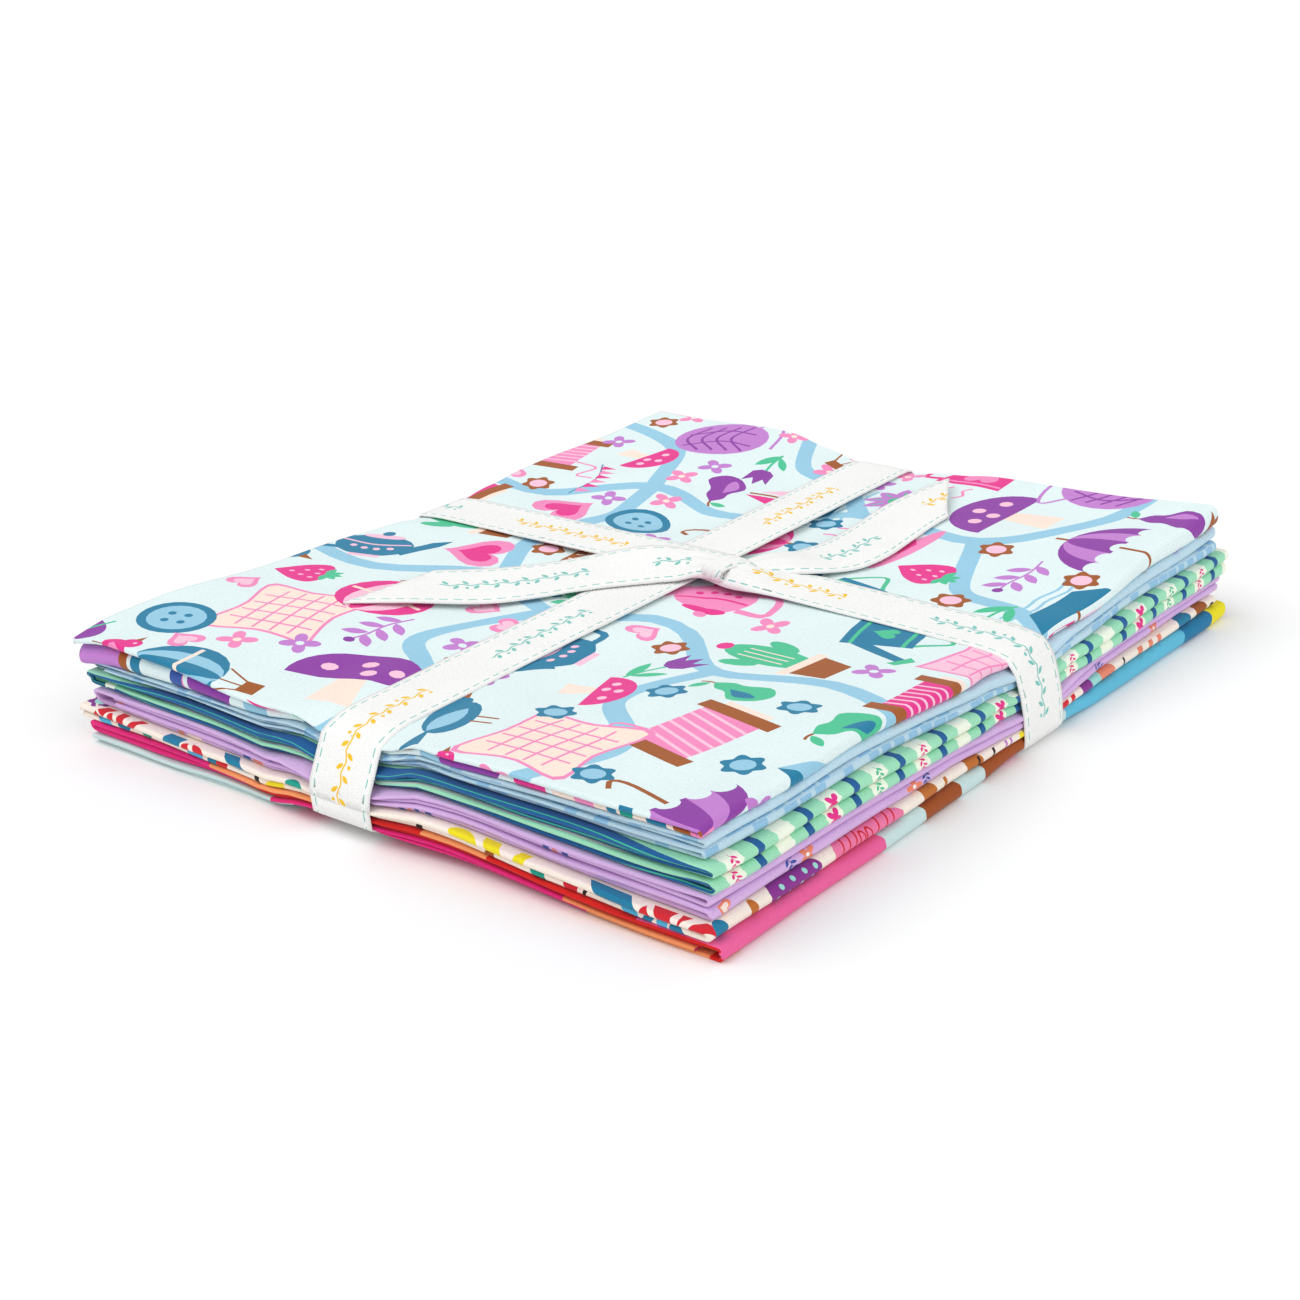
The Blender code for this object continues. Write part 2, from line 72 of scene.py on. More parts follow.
CLOTH_MAP = "cloth_metres"

log = logging.getLogger("fabric_bundle")

Array = np.ndarray
Pair = tuple[float, float]
Three = tuple[float, float, float]
Four = tuple[float, float, float, float]
Mark = tuple[float, float, "Ink"]
Patch = tuple[Array, "Ink"]


def linear(code: str) -> Four:
    """Turns an sRGB hex colour into linear light.

    Args:
        code: A colour such as "#E4F3F4".

    Returns:
        Red, green, blue and an alpha of 1.
    """
    parts = [int(code[k:k + 2], 16) / 255.0 for k in (1, 3, 5)]
    light = [c / 12.92 if c <= 0.04045 else ((c + 0.055) / 1.055) ** 2.4 for c in parts]
    return (light[0], light[1], light[2], 1.0)


def smooth(share: Array) -> Array:
    """Rises from 0 to 1 with level ends."""
    share = np.clip(share, 0.0, 1.0)
    return share * share * (3.0 - 2.0 * share)


def fades(distance: Array, flat: float, fall: Array | float) -> Array:
    """Returns 1 up to a distance to either side, and a value that falls smoothly to 0 beyond it."""
    return 1.0 - smooth((np.abs(distance) - flat) / fall)


def mix(first: Array | float, second: Array | float, share: Array | float) -> Array | float:
    """Returns the value at a share of the way from the first to the second."""
    return first + (second - first) * share


def unit(rows: Array) -> Array:
    """Returns directions of length 1."""
    return rows / np.linalg.norm(rows, axis=1, keepdims=True)


def distances(line: Array) -> Array:
    """Returns how far along a line each of its points lies."""
    return np.concatenate([[0.0], np.cumsum(np.linalg.norm(np.diff(line, axis=0), axis=1))])


def add_node(
    tree: bpy.types.NodeTree,
    kind: str,
    settings: dict[str | int, object] | None = None,
    links: dict[str | int, bpy.types.NodeSocket] | None = None,
) -> bpy.types.Node:
    """Adds one node with its settings and links.

    Args:
        tree: The node tree that gets the node.
        kind: The node's type name.
        settings: Values by the name of a property, or by the name or number of an input.
        links: Output sockets by the name or number of the input that they feed.

    Returns:
        The new node.
    """
    node = tree.nodes.new(kind)
    for name, value in (settings or {}).items():
        if isinstance(name, str) and name in node.bl_rna.properties:
            setattr(node, name, value)
        else:
            node.inputs[name].default_value = value
    for name, source in (links or {}).items():
        tree.links.new(source, node.inputs[name])
    return node


@dataclass(frozen=True)
class Ripple:
    """A smooth unevenness that is the same in every run, mostly between -1 and 1.

    Fields: the seed of its directions and phases, its usual wavelength in millimetres, and the number
    of waves that it adds up.
    """

    seed: int
    wave: float = 60.0
    terms: int = 5

    def at(self, x: Array, y: Array) -> Array:
        """Finds the unevenness at places.

        Args:
            x: Places in X.
            y: Places in Y.

        Returns:
            The unevenness there.
        """
        draw = np.random.default_rng(self.seed)
        total = np.zeros_like(np.asarray(x, float) + np.asarray(y, float))
        for _ in range(self.terms):
            turn, phase = draw.uniform(0.0, 2.0 * math.pi, 2)
            length = self.wave * draw.uniform(0.6, 1.7)
            place = np.asarray(x) * math.cos(turn) + np.asarray(y) * math.sin(turn)
            total = total + np.sin(place * 2.0 * math.pi / length + phase)
        return total / math.sqrt(self.terms * 1.4)


@dataclass(frozen=True)
class CottonSize:
    """The measures of one folded cotton, read off the photograph.

    Fields: the solid it stands for, its number of thick layers, the side of its big outer roll (-1
    left, 1 right, 0 none), its thickness at the corners (left front, right front, right back, left
    back) and under the ribbon (left, front, right, back), its four limits, how far the ribbon draws its
    edges in (at the front and back, and at the sides), and the cloth's length in its front fold.
    """

    node: str
    layers: int
    roll: int
    corners: Four
    tied: Four
    x_low: float
    x_high: float
    y_low: float
    y_high: float
    drawn_in: Pair
    nose: float = 3.2


COTTON_SIZES = (
    CottonSize("cotton_1_ice_blue", 2, 0, (9.6, 2.9, 7.4, 5.6), (4.2, 2.6, 2.6, 3.2),
               -113.5, 113.0, -140.5, 139.0, (6.0, 2.5), 5.0),
    CottonSize("cotton_2_pale_blue", 4, -1, (2.6, 6.4, 8.4, 5.8), (4.6, 3.2, 5.2, 5.2),
               -110.5, 112.5, -138.5, 140.0, (3.6, -0.5)),
    CottonSize("cotton_3_mint_stripe", 4, -1, (5.2, 8.0, 8.2, 6.4), (5.0, 4.8, 6.6, 5.2),
               -112.5, 115.5, -139.0, 144.0, (1.5, 0.7)),
    CottonSize("cotton_4_lilac", 4, -1, (6.0, 7.4, 5.0, 5.8), (5.0, 4.4, 4.7, 4.8),
               -110.5, 113.5, -138.0, 142.0, (-2.0, -2.5)),
    CottonSize("cotton_5_cream", 2, 0, (4.4, 4.2, 2.8, 4.8), (2.9, 3.6, 2.6, 2.8),
               -115.5, 115.0, -139.5, 137.5, (-1.0, -1.5), 3.6),
    CottonSize("cotton_6_colour_block", 4, 1, (7.6, 4.6, 5.2, 5.6), (4.7, 5.0, 4.6, 4.9),
               -114.0, 117.0, -138.5, 141.0, (-1.7, 0.5)),
)


@dataclass(frozen=True)
class StackShape:
    """Where every thick layer of every cotton lies: close to the solids' formulas, softly uneven.

    Lengths are in millimetres. The ties' ends give a band's centre where it starts and ends; the falls
    give how far the press of a band reaches beside it, at the start and the end of the band. Least is
    the least thickness of a cotton by its number of layers, and uneven says by what share cottons,
    layers and the gaps between layers vary. The gap shares say how far a gap may close, how narrow the
    middle one of three is, and what every gap keeps. Most is the most thickness of a layer. The top and
    the low puff give the share of each layer of the top and of the lowest cotton at the left front
    corner, and the most thickness there. A roll pinches its layers by the shares of pinch, along the
    sides and at the corners, from a distance and over a length. The wobble is that of the edges at the
    front and back and at the sides. The sags say where the top cotton lies lower than its corners'
    heights give, or higher with a negative share: the middle in X and Y, the reach in X and Y, and the
    share of its thickness.
    """

    width: float = 229.0
    depth: float = 279.0
    gap: float = 0.3
    tie_x_ends: Pair = (-6.5, -9.5)
    tie_y_ends: Pair = (13.5, 18.5)
    centre_y: float = 16.0
    flat_strip: float = 13.0
    fall_left: Pair = (60.0, 62.0)
    fall_right: Pair = (70.0, 72.0)
    fall_front: Pair = (76.0, 105.0)
    fall_back: Pair = (84.0, 115.0)
    press_middle: float = 0.92
    edge_reach: float = 60.0
    centre_sink: float = 0.35
    least: dict[int, float] = field(default_factory=lambda: {2: 2.6, 4: 4.6})
    uneven: Three = (0.045, 0.13, 0.5)
    gap_shares: Three = (0.6, 0.3, 0.35)
    most: dict[int, float] = field(default_factory=lambda: {2: 2.4, 4: 1.6})
    top_puff: tuple[Pair, ...] = ((0.5, 1.9), (1.5, 6.0))
    low_puff: tuple[Pair, ...] = ((0.8, 3.0), (1.5, 3.0), (1.0, 3.0), (0.6, 3.0))
    pinch: Pair = (0.06, 0.34)
    pinch_side: Pair = (14.0, 10.0)
    pinch_corner: Pair = (26.0, 22.0)
    wobble: Pair = (0.45, 0.4)
    draw_reach: float = 30.0
    lift_fall: float = 20.0
    lift_centre: float = 2.7
    lift_ends: Four = (4.0, 2.6, 2.0, 1.6)
    lift_curl: float = 70.0
    curl: float = 3.4
    curl_reach: float = 16.0
    shoulder: float = 17.0
    shoulder_strip: Pair = (9.0, 18.0)
    shoulder_drops: Pair = (0.26, 0.06)
    sags: tuple[tuple[float, float, float, float, float], ...] = (
        (66.0, 140.0, 34.0, 45.0, 0.43), (-113.0, -60.0, 40.0, 45.0, 0.22),
        (-113.0, 92.0, 40.0, 35.0, 0.26), (-110.0, 20.0, 45.0, 36.0, -0.68), (-17.0, 136.0, 38.0, 40.0, -1.0))
    ragged: Four = (0.0, 1.4, 0.7, 2.1)
    cottons: tuple[CottonSize, ...] = COTTON_SIZES

    def along_x(self, x: Array) -> Array:
        """Returns a place in X as a share of the folded width."""
        return np.clip(x / self.width + 0.5, 0.0, 1.0)

    def along_y(self, y: Array) -> Array:
        """Returns a place in Y as a share of the folded depth."""
        return np.clip(y / self.depth + 0.5, 0.0, 1.0)

    def tie_x(self, y: Array) -> Array:
        """Returns the centre in X of the band that runs from front to back."""
        return mix(*self.tie_x_ends, self.along_y(y))

    def tie_y(self, x: Array) -> Array:
        """Returns the centre in Y of the band that runs from left to right."""
        return mix(*self.tie_y_ends, self.along_x(x))

    def off_bands(self, x: Array, y: Array) -> tuple[Array, Array]:
        """Returns how far places lie from the front-to-back band and from the left-to-right one."""
        return x - self.tie_x(y), y - self.tie_y(x)

    def beside(self, distance: Array, fall: Array) -> Array:
        """Returns 1 under a band, and a value that falls quickly and then slowly to 0 beside it."""
        share = np.clip((np.abs(distance) - self.flat_strip) / fall, 0.0, 1.0)
        return (1.0 - share) ** 2

    def at_edge(self, distance: Array, half: float) -> Array:
        """Returns 0 in the middle of the stack and 1 at its edge."""
        return smooth((np.abs(distance) - half + self.edge_reach) / self.edge_reach)

    def presses(self, x: Array, y: Array) -> tuple[Array, Array, Array]:
        """Measures how firmly the bands press.

        Args:
            x: Places in X.
            y: Places in Y.

        Returns:
            The press of the front-to-back and of the left-to-right band, and how loose they leave the
            stack, all from 0 to 1.
        """
        from_x, from_y = self.off_bands(x, y)
        v, u = self.along_y(y), self.along_x(x)
        across = np.where(from_x < 0, mix(*self.fall_left, v), mix(*self.fall_right, v))
        along = np.where(from_y < 0, mix(*self.fall_front, u), mix(*self.fall_back, u))
        band_y = self.beside(from_x, across) * mix(self.press_middle, 1.0, self.at_edge(y, self.depth / 2))
        band_x = self.beside(from_y, along) * mix(self.press_middle, 1.0, self.at_edge(x, self.width / 2))
        return band_y, band_x, (1.0 - band_y) * (1.0 - band_x)

    def kept(self, x: Array, y: Array) -> Array:
        """Rounds the stack over where a band bends round its edge.

        Args:
            x: Places in X.
            y: Places in Y.

        Returns:
            The share of its height that it keeps.
        """
        under_y, under_x = (fades(off, *self.shoulder_strip) for off in self.off_bands(x, y))
        near_y = np.clip(1.0 - (self.depth / 2 - np.abs(y)) / self.shoulder, 0.0, 1.0) ** 2
        near_x = np.clip(1.0 - (self.width / 2 + 1.5 - np.abs(x)) / self.shoulder, 0.0, 1.0) ** 2
        near, far = self.shoulder_drops
        drop_y, drop_x = np.where(y < 0, near, far), np.where(x > 0, near, far)
        return 1.0 - np.maximum(drop_y * under_y * near_y, drop_x * under_x * near_x)

    def lift(self, x: Array, y: Array) -> Array:
        """Finds the stack's underside, raised over the ribbon that runs below it.

        Args:
            x: Places in X.
            y: Places in Y.

        Returns:
            Its height.
        """
        from_x, from_y = self.off_bands(x, y)
        front, back, left, right = self.lift_ends
        out_y, out_x = smooth(np.abs(from_y) * 2 / self.depth), smooth(np.abs(from_x) * 2 / self.width)
        line_y = mix(self.lift_centre, np.where(from_y < 0, front, back), out_y)
        line_x = mix(self.lift_centre, np.where(from_x < 0, left, right), out_x)
        curl = np.where((from_x > 0) & (y < 0), self.lift_curl * self.at_edge(y, self.depth / 2), 0.0)
        over_y = line_y * fades(from_x, self.flat_strip, self.lift_fall + curl)
        return np.maximum(over_y, line_x * fades(from_y, self.flat_strip, self.lift_fall))

    def total(self, index: int, x: Array, y: Array) -> Array:
        """Measures one folded cotton, with a little puff where nothing presses it.

        Args:
            index: The cotton's place in the stack.
            x: Places in X.
            y: Places in Y.

        Returns:
            Its thickness.
        """
        cotton = self.cottons[index]
        u, v = self.along_x(x), self.along_y(y)
        left_front, right_front, right_back, left_back = cotton.corners
        corner = mix(mix(left_front, right_front, u), mix(left_back, right_back, u), v)
        inside = (1.0 - (2.0 * u - 1.0) ** 2) * (1.0 - (2.0 * v - 1.0) ** 2)
        least = self.least[cotton.layers]
        free = least + (corner - least) * (1.0 - self.centre_sink * inside)
        left, front, right, back = cotton.tied
        band_y, band_x, loose = self.presses(x, y)
        both = np.maximum(band_y + band_x, 1e-9)
        tied = (mix(front, back, v) * band_y + mix(left, right, u) * band_x) / both
        puff = 1.0 + self.uneven[0] * Ripple(40 + index, 74.0).at(x, y) * loose
        if index == 0:
            for at_x, at_y, wide, deep, share in self.sags:
                puff = puff * (1.0 - share * np.exp(-((x - at_x) / wide) ** 2 - ((y - at_y) / deep) ** 2))
        return mix(free, tied, 1.0 - loose) * puff * self.kept(x, y)

    def levels(self, index: int, x: Array, y: Array) -> tuple[list[Array], list[Array]]:
        """Finds the middle height and the thickness of each thick layer of one cotton.

        Args:
            index: The cotton's place in the stack, counted from the top.
            x: Places in X.
            y: Places in Y.

        Returns:
            Lists of the middle heights and of the thicknesses, the top layer first.
        """
        cotton = self.cottons[index]
        bottom = self.lift(x, y)
        for below in range(index + 1, len(self.cottons)):
            bottom = bottom + self.total(below, x, y) + self.gap
        total = self.total(index, x, y)
        count = cotton.layers
        even = (total - (count - 1) * self.gap) / count
        *_, loose = self.presses(x, y)
        thick = []
        for k in range(count):
            share, most = self.layer_share(index, k, x, y)
            uneven = 1.0 + self.uneven[1] * Ripple(90 + 7 * index + k, 46.0).at(x, y) * loose
            thick.append(np.minimum(even * share * uneven, most))
        closed, narrow, least = self.gap_shares
        room = total - (count - 1) * self.gap * closed
        fit = np.minimum(1.0, room / sum(thick))
        thick = [part * fit for part in thick]
        spare = total - sum(thick)
        weights = [np.ones_like(total) for _ in range(count - 1)]
        if count == 4:
            weights[1] = weights[1] * narrow
        weights = [w * (1.0 + self.uneven[2] * Ripple(150 + 5 * index + k, 38.0).at(x, y) * loose) + least
                   for k, w in enumerate(weights)]
        whole = sum(weights)
        height = bottom + total
        if index == 0:
            from_tip = np.hypot(x - cotton.x_low, y - cotton.y_low)
            height = height - self.curl * np.clip(1.0 - from_tip / self.curl_reach, 0.0, 1.0) ** 1.4
        middles = []
        for k in range(count):
            middles.append(height - thick[k] / 2)
            height = height - thick[k]
            if k < count - 1:
                height = height - spare * weights[k] / whole
        return middles, thick

    def layer_share(self, index: int, layer: int, x: Array, y: Array) -> tuple[Array, Array]:
        """Shares a cotton's thickness out among its layers.

        Args:
            index: The cotton's place in the stack.
            layer: The thick layer, the top one first.
            x: Places in X.
            y: Places in Y.

        Returns:
            The layer's share of an even thickness, and the most that it may be.
        """
        cotton = self.cottons[index]
        u, v = self.along_x(x), self.along_y(y)
        puffy = (1.0 - u) * (1.0 - v)
        most = self.most[cotton.layers]
        if index in (0, 5):
            share, high = (self.top_puff if index == 0 else self.low_puff)[layer]
            return mix(1.0, share, puffy), mix(most, high, puffy)
        if cotton.layers == 2:
            return np.ones_like(u), np.full_like(u, most)
        twin = 1.0 if cotton.roll < 0 else 0.0
        from_side, from_corner = self.width / 2 - self.pinch_side[0], self.depth / 2 - self.pinch_corner[0]
        near = smooth((np.abs(x) - from_side) / self.pinch_side[1]) * (np.abs(u - twin) < 0.5)
        corner = smooth((np.abs(y) - from_corner) / self.pinch_corner[1])
        return 1.0 - near * mix(*self.pinch, corner), np.full_like(u, most)

    def end_limit(self, index: int, end: int, short: Array, x: Array) -> Array:
        """Finds the front or back edge of a layer.

        Args:
            index: The cotton's place in the stack.
            end: -1 for the front, 1 for the back.
            short: How far the layer stays short of the cotton's limit.
            x: Places in X.

        Returns:
            The edge's places in Y.
        """
        cotton = self.cottons[index]
        beside = x - self.tie_x(np.full_like(x, end * self.depth / 2))
        drawn = cotton.drawn_in[0] * fades(beside, self.flat_strip, self.draw_reach)
        wobble = self.wobble[0] * (1.0 + Ripple(220 + 10 * end + index, 52.0).at(x, short * 40.0))
        return (cotton.y_high if end > 0 else cotton.y_low) - end * (short + drawn + wobble)

    def side_limit(self, index: int, side: int, seed: int, y: Array) -> Array:
        """Finds a roll or a cut edge of a cotton.

        Args:
            index: The cotton's place in the stack.
            side: -1 for the left, 1 for the right.
            seed: The edge's own seed.
            y: Places in Y.

        Returns:
            The edge's places in X.
        """
        cotton = self.cottons[index]
        drawn = cotton.drawn_in[1] * fades(y - self.centre_y, self.flat_strip, self.draw_reach)
        wobble = self.wobble[1] * (1.0 + Ripple(250 + 11 * index + seed, 58.0).at(y, np.zeros_like(y)))
        if side > 0:
            return cotton.x_high - drawn - wobble
        return cotton.x_low + drawn + wobble


@dataclass(frozen=True)
class PlyFold:
    """The four plies inside every thick layer, followed along the cloth.

    The cloth starts at its cut edge at the back, runs to the front, turns over the outer fold, comes
    back on the outside, and makes the same turn once more on the inside. The fold room is what the
    folds at the front and the back take up, as a share of the layer's thickness.
    """

    ply: float = 276.0
    nose: float = 4.0
    back: float = 2.0
    heart: float = 1.4
    lip: float = 0.28
    recess: float = 0.0045
    fold_room: Pair = (0.46, 0.17)

    @property
    def ends(self) -> tuple[float, ...]:
        """Returns where each ply and each fold ends, along the cloth."""
        marks = [0.0]
        for length in (self.ply, self.nose, self.ply, self.back, self.ply, self.heart, self.ply):
            marks.append(marks[-1] + length)
        return tuple(marks)

    @property
    def length(self) -> float:
        """Returns the whole length of cloth through the plies."""
        return self.ends[-1]

    @property
    def nose_at(self) -> float:
        """Returns the middle of the outer fold at the front."""
        return self.ply + self.nose / 2

    @property
    def back_at(self) -> float:
        """Returns the middle of the fold at the back."""
        return 2.0 * self.ply + self.nose + self.back / 2

    def outer(self, share: float) -> float:
        """Returns the place on the outer ply at a share of the way from front to back."""
        return self.ply * (1.0 + share) + self.nose

    def read(self, v: Array) -> tuple[Array, Array, Array, Array]:
        """Follows the cloth through its plies.

        Args:
            v: Places along the cloth.

        Returns:
            The share of the way from front to back, the ply's offset as a share of the thick layer's
            thickness, how far it reaches out in Y as the same share, and the lip of a cut edge in mm.
        """
        m = self.ends
        share = np.zeros_like(v)
        offset = np.zeros_like(v)
        reach = np.zeros_like(v)
        edge = self.recess
        spans = [(0.0, 1.0 - edge, 0.0, -0.5), (1.0, 0.0, 1.0, 0.5),
                 (2.0, 1.0, 0.0, 0.1667), (3.0, 0.0, 1.0 - 2.0 * edge, -0.1667)]
        for k, first, last, level in spans:
            a, b = m[int(2 * k)], m[int(2 * k) + 1]
            inside = (v >= a - 1.0) & (v <= b + 1.0)
            share = np.where(inside, mix(first, last, np.clip((v - a) / (b - a), 0.0, 1.0)), share)
            offset = np.where(inside, level, offset)
        bends = [(1, 0.0, 0.0, -0.5, -0.46), (3, 1.0, 0.3333, 0.1667, 0.1667), (5, 0.0, 0.0, 0.1667, -0.1667)]
        for k, end, middle, half, out in bends:
            inside = (v > m[k]) & (v < m[k + 1])
            turn = math.pi * (v - m[k]) / (m[k + 1] - m[k])
            share = np.where(inside, end, share)
            offset = np.where(inside, middle + half * np.cos(turn), offset)
            reach = np.where(inside, out * np.sin(turn), reach)
        lip = np.maximum(0.0, -v) + np.maximum(0.0, v - m[7])
        return share, offset, reach, lip


class Bend(Enum):
    """What one stretch of a cotton's section is."""

    RUN = "run"
    ROLL = "roll"


@dataclass(frozen=True)
class Stretch:
    """One stretch of a cotton's section, from one place along the cloth to another.

    Fields: what it is, where it starts and its length, the layers at its start and its end, and the
    side it heads for (a run) or lies on (a roll), with a seed for the roll's own edge.
    """

    bend: Bend
    start: float
    length: float
    first: int
    last: int
    side: int
    seed: int = 0

    @property
    def end(self) -> float:
        """Returns where the stretch ends along the cloth."""
        return self.start + self.length

    @property
    def middle(self) -> float:
        """Returns the middle of the stretch along the cloth."""
        return self.start + self.length / 2


@dataclass
class FoldedSheet:
    """One cotton as a sheet of cloth that goes through its folds.

    Fields: the stack, the cotton's place in it, its plies, the cloth's lengths in a small and in a big
    roll, how far the upper of two free ends falls short of the lower one, how far two inner ends stay
    back from the roll round them, how far inside its edge a roll reads the layers' heights and the print
    starts, how far inside the limits a first guess lies in X and Y, over what length a run passes into a
    roll, and how much shorter the inner runs are.
    """

    stack: StackShape
    index: int
    plies: PlyFold
    small_roll: float = 6.0
    big_roll: float = 12.0
    raw_short: float = 0.4
    inner_back: Pair = (3.0, 4.5)
    inset: float = 3.0
    print_inset: float = 2.0
    guess_inset: Pair = (4.0, 1.5)
    blend: float = 9.0
    inner_short: float = 9.0
    stretches: list[Stretch] = field(default_factory=list)

    def __post_init__(self) -> None:
        """Lays out the stretches of the section, from one cut edge of the cloth to the other."""
        cotton = self.cotton
        run = cotton.x_high - cotton.x_low - 2 * self.inset
        side = -cotton.roll if cotton.roll else 1
        plan: list[tuple[Bend, float, int, int, int, int]]
        if cotton.layers == 2:
            plan = [(Bend.RUN, run, 1, 1, side, 0), (Bend.ROLL, self.small_roll, 1, 0, side, 1),
                    (Bend.RUN, run, 0, 0, -side, 0)]
        else:
            inner = run - self.inner_short
            plan = [(Bend.RUN, inner, 1, 1, side, 0), (Bend.ROLL, self.small_roll, 1, 0, side, 1),
                    (Bend.RUN, run, 0, 0, -side, 0), (Bend.ROLL, self.big_roll, 0, 3, -side, 2),
                    (Bend.RUN, run, 3, 3, side, 0), (Bend.ROLL, self.small_roll, 3, 2, side, 3),
                    (Bend.RUN, inner, 2, 2, -side, 0)]
        start = 0.0
        for bend, length, first, last, way, seed in plan:
            self.stretches.append(Stretch(bend, start, length, first, last, way, seed))
            start += length

    @property
    def cotton(self) -> CottonSize:
        """Returns the measures of this cotton."""
        return self.stack.cottons[self.index]

    @property
    def length(self) -> float:
        """Returns the whole length of cloth through the section."""
        return self.stretches[-1].end

    @property
    def guess_limits(self) -> Three:
        """Returns the limits in X of a first guess of a place, and its farthest in Y."""
        in_x, in_y = self.guess_inset
        return self.cotton.x_low + in_x, self.cotton.x_high - in_x, self.stack.depth / 2 - in_y

    @property
    def roll_middles(self) -> list[float]:
        """Returns the middles of the rolls along the cloth."""
        return [s.middle for s in self.stretches if s.bend is Bend.ROLL]

    def run_of(self, layer: int) -> Stretch:
        """Returns the run that makes a thick layer."""
        return next(s for s in self.stretches if s.bend is Bend.RUN and s.first == layer)

    def roll_of(self, layers: set[int]) -> Stretch:
        """Returns the roll that joins two thick layers."""
        return next(s for s in self.stretches if s.bend is Bend.ROLL and {s.first, s.last} == layers)

    def u_at(self, layer: int, x: float) -> float:
        """Finds a place in a layer.

        Args:
            layer: The layer.
            x: The place in X.

        Returns:
            The place along the cloth.
        """
        run = self.run_of(layer)
        from_right = self.cotton.x_high - self.inset - x
        return run.start + from_right if run.side < 0 else run.end - from_right

    def v_at(self, y: float) -> float:
        """Returns the place along the outer ply that lies at a place in Y."""
        low, high = self.cotton.y_low + self.print_inset, self.cotton.y_high - self.print_inset
        return self.plies.outer((y - low) / (high - low))

    def roll_frame(self, roll: Stretch, side: int, y: Array) -> tuple[Array, ...]:
        """Measures the rounded fold that joins two layers at one side.

        Args:
            roll: The fold.
            side: The side it lies on, -1 or 1.
            y: Places in Y.

        Returns:
            The fold's centre in X, its middle height, its radius, the thickness of its upper and of its
            lower layer, and the place in X where the levels were read.
        """
        upper, lower = sorted((roll.first, roll.last))
        limit = self.stack.side_limit(self.index, side, roll.seed, y)
        read_at = limit - side * self.inset
        middles, thick = self.stack.levels(self.index, read_at, y)
        radius = (middles[upper] - middles[lower]) / 2
        mean = (thick[upper] + thick[lower]) / 2
        height = (middles[upper] + middles[lower]) / 2
        return limit - side * (radius + mean / 2), height, radius, thick[upper], thick[lower], read_at

    def run_end(self, run: Stretch, at_start: bool, y: Array) -> tuple[Array, Array]:
        """Finds where a run begins or ends.

        Args:
            run: The run.
            at_start: True for its beginning.
            y: Places in Y.

        Returns:
            The place in X, and the place in X where the levels are read there.
        """
        number = self.stretches.index(run)
        other = number - 1 if at_start else number + 1
        side = -run.side if at_start else run.side
        if 0 <= other < len(self.stretches):
            centre, *_, read_at = self.roll_frame(self.stretches[other], side, y)
            return centre, read_at
        limit = self.stack.side_limit(self.index, side, 5 + run.first, y)
        if self.cotton.layers == 2:
            short = 0.0 if run.first == 0 else self.raw_short
        else:
            middles, _ = self.stack.levels(self.index, limit - side * self.inset, y)
            short = middles[0] - middles[3] + self.inner_back[run.first - 1]
        place = limit - side * short
        return place, place

    def spots(self, u: Array, v: Array) -> Array:
        """Finds where places on the cloth lie in the stack.

        Args:
            u: Places along the section, in millimetres.
            v: Places through the plies, in millimetres.

        Returns:
            One row of X, Y and Z for each place.
        """
        share, offset, reach, lip = self.plies.read(v)
        result = np.zeros((len(u), 3))
        for number, part in enumerate(self.stretches):
            low = u >= part.start if number else u >= -1e9
            high = u < part.end if number < len(self.stretches) - 1 else u < 1e9
            chosen = low & high
            if not chosen.any():
                continue
            along = np.clip((u[chosen] - part.start) / part.length, 0.0, 1.0)
            extra = np.maximum(0.0, -u[chosen]) + np.maximum(0.0, u[chosen] - self.length)
            spot = self.run_spots if part.bend is Bend.RUN else self.roll_spots
            result[chosen] = spot(part, along, share[chosen], offset[chosen], reach[chosen],
                                  lip[chosen] + extra)
        return result

    def place_y(self, short: Array, x: Array, share: Array, thick: Array, reach: Array) -> Array:
        """Places points between a layer's front fold and its back edge.

        Args:
            short: How far the layer stays short of the cotton's limit.
            x: Places in X.
            share: The share of the way from front to back.
            thick: The layer's thickness.
            reach: How far it reaches out in Y, as the same share.

        Returns:
            Places in Y.
        """
        nose, heart = self.plies.fold_room
        front = self.stack.end_limit(self.index, -1, short, x) + nose * thick
        back = self.stack.end_limit(self.index, 1, short, x) - heart * thick
        return mix(front, back, share) + thick * reach

    def run_spots(
        self, run: Stretch, along: Array, share: Array, offset: Array, reach: Array, lip: Array
    ) -> Array:
        """Places points of a flat layer.

        Args:
            run: The run that makes it.
            along: The share of the way along it.
            share: The share of the way from front to back.
            offset: The ply's offset, as a share of the layer's thickness.
            reach: How far it reaches out in Y, as the same share.
            lip: The lip of a cut edge.

        Returns:
            One row of X, Y and Z for each point.
        """
        layer = run.first
        low, high, half = self.guess_limits
        guess_y = mix(-half, half, share)
        forward = along if run.side > 0 else 1.0 - along
        guess_x = mix(low, high, forward)
        _, thick = self.stack.levels(self.index, guess_x, guess_y)
        short = np.full_like(guess_x, self.stack.ragged[layer])
        y = self.place_y(short, guess_x, share, thick[layer], reach)
        start, start_read = self.run_end(run, True, y)
        end, end_read = self.run_end(run, False, y)
        x = mix(start, end, along)
        read = x + (start_read - start) * smooth(1.0 - np.abs(x - start) / self.blend)
        read = read + (end_read - end) * smooth(1.0 - np.abs(x - end) / self.blend)
        middles, thick = self.stack.levels(self.index, read, y)
        outward = 1.0 if layer % 2 == 0 else -1.0
        z = middles[layer] + outward * (offset * thick[layer] - lip)
        return np.stack([x, y, z], axis=1)

